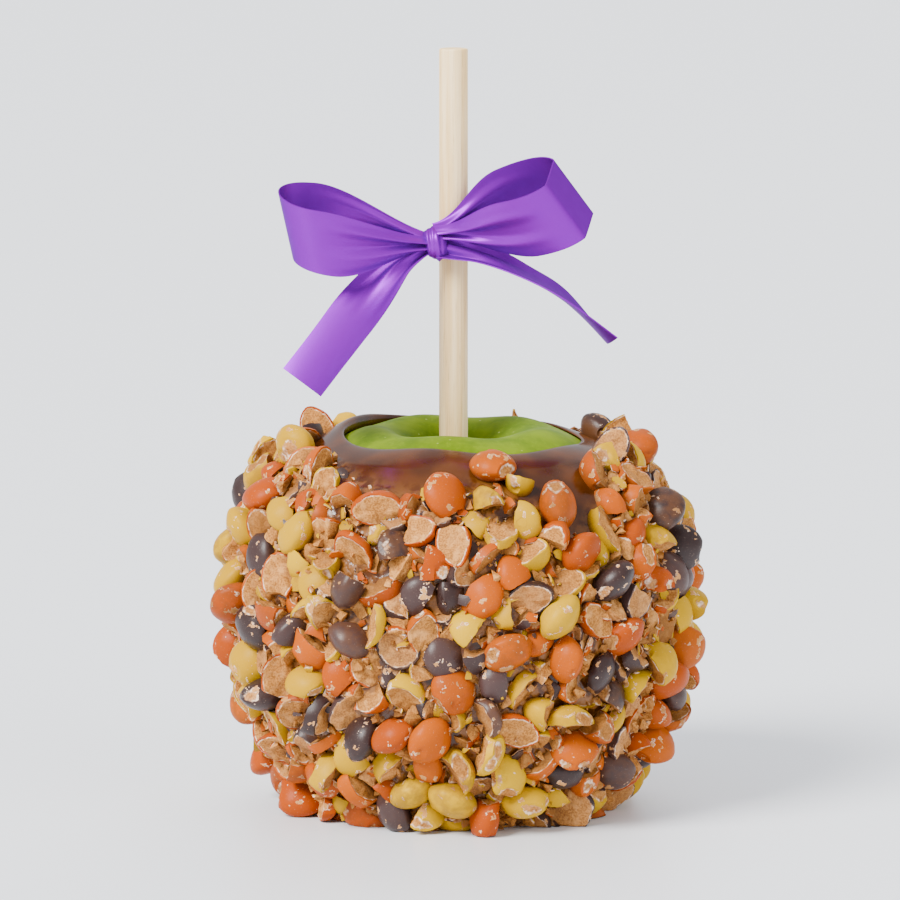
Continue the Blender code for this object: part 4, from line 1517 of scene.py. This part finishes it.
def stripSolid(rows, thickness):
    grid = np.array([[p[:] for p in row] for row in rows])
    along = np.gradient(grid, axis=0)
    over = np.gradient(grid, axis=1)
    normals = np.cross(along, over)
    normals /= np.linalg.norm(normals, axis=2)[:, :, None]
    count, across = grid.shape[:2]
    points = [tuple(p) for way in (0.5, -0.5) for p in (grid + normals * way * thickness).reshape(-1, 3)]
    size, faces = count * across, []
    for i in range(count - 1):
        for j in range(across - 1):
            a, b, c, d = i * across + j, (i + 1) * across + j, (i + 1) * across + j + 1, i * across + j + 1
            faces.append((a, b, c, d))
            faces.append((size + d, size + c, size + b, size + a))
    border = [i * across for i in range(count)] + [(count - 1) * across + j for j in range(1, across)]
    border += [i * across + across - 1 for i in range(count - 2, -1, -1)] + list(range(across - 2, 0, -1))
    for a, b in zip(border, border[1:] + border[:1]):
        faces.append((b, a, size + a, size + b))
    length = float(np.linalg.norm(np.diff(grid[:, across // 2], axis=0), axis=1).sum())
    return points, faces, length


satinLook = {
    "body": (0.195, 0.0003, 0.385, 1),
    # The deep purple is painted shade, mixed in where the satin turns away from view
    "deep": (0.100, 0.0002, 0.215, 1),
    "bright": (0.19, 0.001, 0.40, 1),
    "tint": (0.55, 0.12, 1.0, 1),
    "metallic": 0.55,
    "roughness": 0.40,
    "gloss": 0.06,
    "threadStretch": (1.0, 0.12, 1.0),
    "threadTurn": (0.3, 0.9, 0.5),
    "threads": (5.5, 2.0, 0.5),
    "cloud": (0.35, 2.0, 0.5),
    "cloudMask": (0.4, 0.7, 0, 0.25),
    "turnedAwayShadeBlend": 0.35,
    "turnedAwayShadeMask": (0.05, 0.9),
    "bump": 0.18,
    "bumpReach": 0.08 * mm,
}


def satinMaterial():
    finish, tree, shader = newMaterial("purpleSatin")
    place = inMillimetres(tree)
    along = stretched(tree, place, satinLook["threadStretch"], satinLook["threadTurn"])
    threads = noiseAt(tree, along, *satinLook["threads"])
    cloud = noiseAt(tree, place, *satinLook["cloud"])
    # Painted shade: the satin goes from its body colour to the deep purple where it faces away from view
    weight = addNode(tree, "ShaderNodeLayerWeight", {"Blend": satinLook["turnedAwayShadeBlend"]})
    turnedAwayShade = remap(tree, weight.outputs["Facing"], *satinLook["turnedAwayShadeMask"])
    colour = mixColour(tree, turnedAwayShade, satinLook["body"], satinLook["deep"])
    colour = mixColour(tree, remap(tree, cloud, *satinLook["cloudMask"]), colour, satinLook["bright"])
    wire(tree, colour, shader.inputs["Base Color"])
    shader.inputs["Metallic"].default_value = satinLook["metallic"]
    shader.inputs["Roughness"].default_value = satinLook["roughness"]
    shader.inputs["Specular IOR Level"].default_value = satinLook["gloss"]
    shader.inputs["Specular Tint"].default_value = satinLook["tint"]
    addBump(tree, shader, threads, satinLook["bump"], satinLook["bumpReach"])
    return finish


def knotPoints(rings, segments):
    points, radii = [], ribbonShape["knotRadii"]
    deep, fine = ribbonShape["knotCreases"]
    for i in range(1, rings):
        w = -1 + 2 * i / rings
        level = (1 - abs(w) ** 2.6) ** 0.5
        for j in range(segments):
            angle = 2 * math.pi * j / segments
            crease = deep * math.cos(7.5 * w + 1.3 * math.sin(angle)) + fine * math.cos(15 * w - 2 * angle)
            size = level * (1 + crease)
            side, up = math.sin(angle) * radii.y * size, math.cos(angle) * radii.z * size
            points.append(Vector((w * radii.x, side, up)))
    points += [Vector((-radii.x, 0, 0)), Vector((radii.x, 0, 0))]
    shift = ribbonShape["knot"] + Vector((stickX, 0, 0))
    return [p + shift - Vector((p.z * ribbonShape["knotLean"], 0, 0)) for p in points]


def wrapProfile():
    inner = ribbonShape["stickRadius"] + coatShape["gap"]
    outer = inner + ribbonShape["wrapThickness"]
    middle, half = ribbonShape["knot"].z, ribbonShape["wrapHeight"] / 2
    profile = []
    for k in range(ribbonShape["wrapSteps"] + 1):
        t = -1 + 2 * k / ribbonShape["wrapSteps"]
        wave = ribbonShape["wrapWave"] * math.cos(2.5 * math.pi * t)
        profile.append((outer + wave - ribbonShape["wrapEdge"] * abs(t) ** 6, middle + t * half))
    return [*profile, (inner, middle + half), (inner, middle - half)]


def makeKnot(finish):
    rings, segments = ribbonShape["knotRings"], ribbonShape["knotSegments"]
    points = knotPoints(rings, segments)
    faces = ringsToFaces(rings - 1, segments)
    capEnds(faces, rings - 1, segments, len(points) - 2, len(points) - 1)
    start, columns, profile = len(points), ribbonShape["wrapColumns"], wrapProfile()
    for radius, height in profile:
        points += [around(turn, radius, height) + Vector((stickX, 0, 0)) for turn in azimuths(columns)]
    for i in range(len(profile)):
        here, above = start + i * columns, start + (i + 1) % len(profile) * columns
        for j in range(columns):
            k = (j + 1) % columns
            faces.append((here + j, here + k, above + k, above + j))
    return addPiece("ribbonKnot", points, faces, finish, ribbonShape["knotSharpAngle"])


def makeRibbon():
    finish = satinMaterial()
    strips = [loopRows(**loop) for loop in ribbonShape["loops"]]
    strips += [tailRows(**tail) for tail in ribbonShape["tails"]]
    points, faces, length = [], [], 0.0
    for rows in strips:
        stripPoints, stripFaces, stripLength = stripSolid(rows, ribbonShape["thickness"])
        faces += [tuple(i + len(points) for i in f) for f in stripFaces]
        points += stripPoints
        length += stripLength
    points = [Vector(p) + Vector((stickX, 0, 0)) for p in points]
    ribbon = addPiece("satinRibbon", points, faces, finish, ribbonShape["sharpAngle"])
    knot = makeKnot(finish)
    for piece in (ribbon, knot):
        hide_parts("ribbon_bow")
    print("ribbon made, length", round(length / mm), "mm")


makeRibbon()
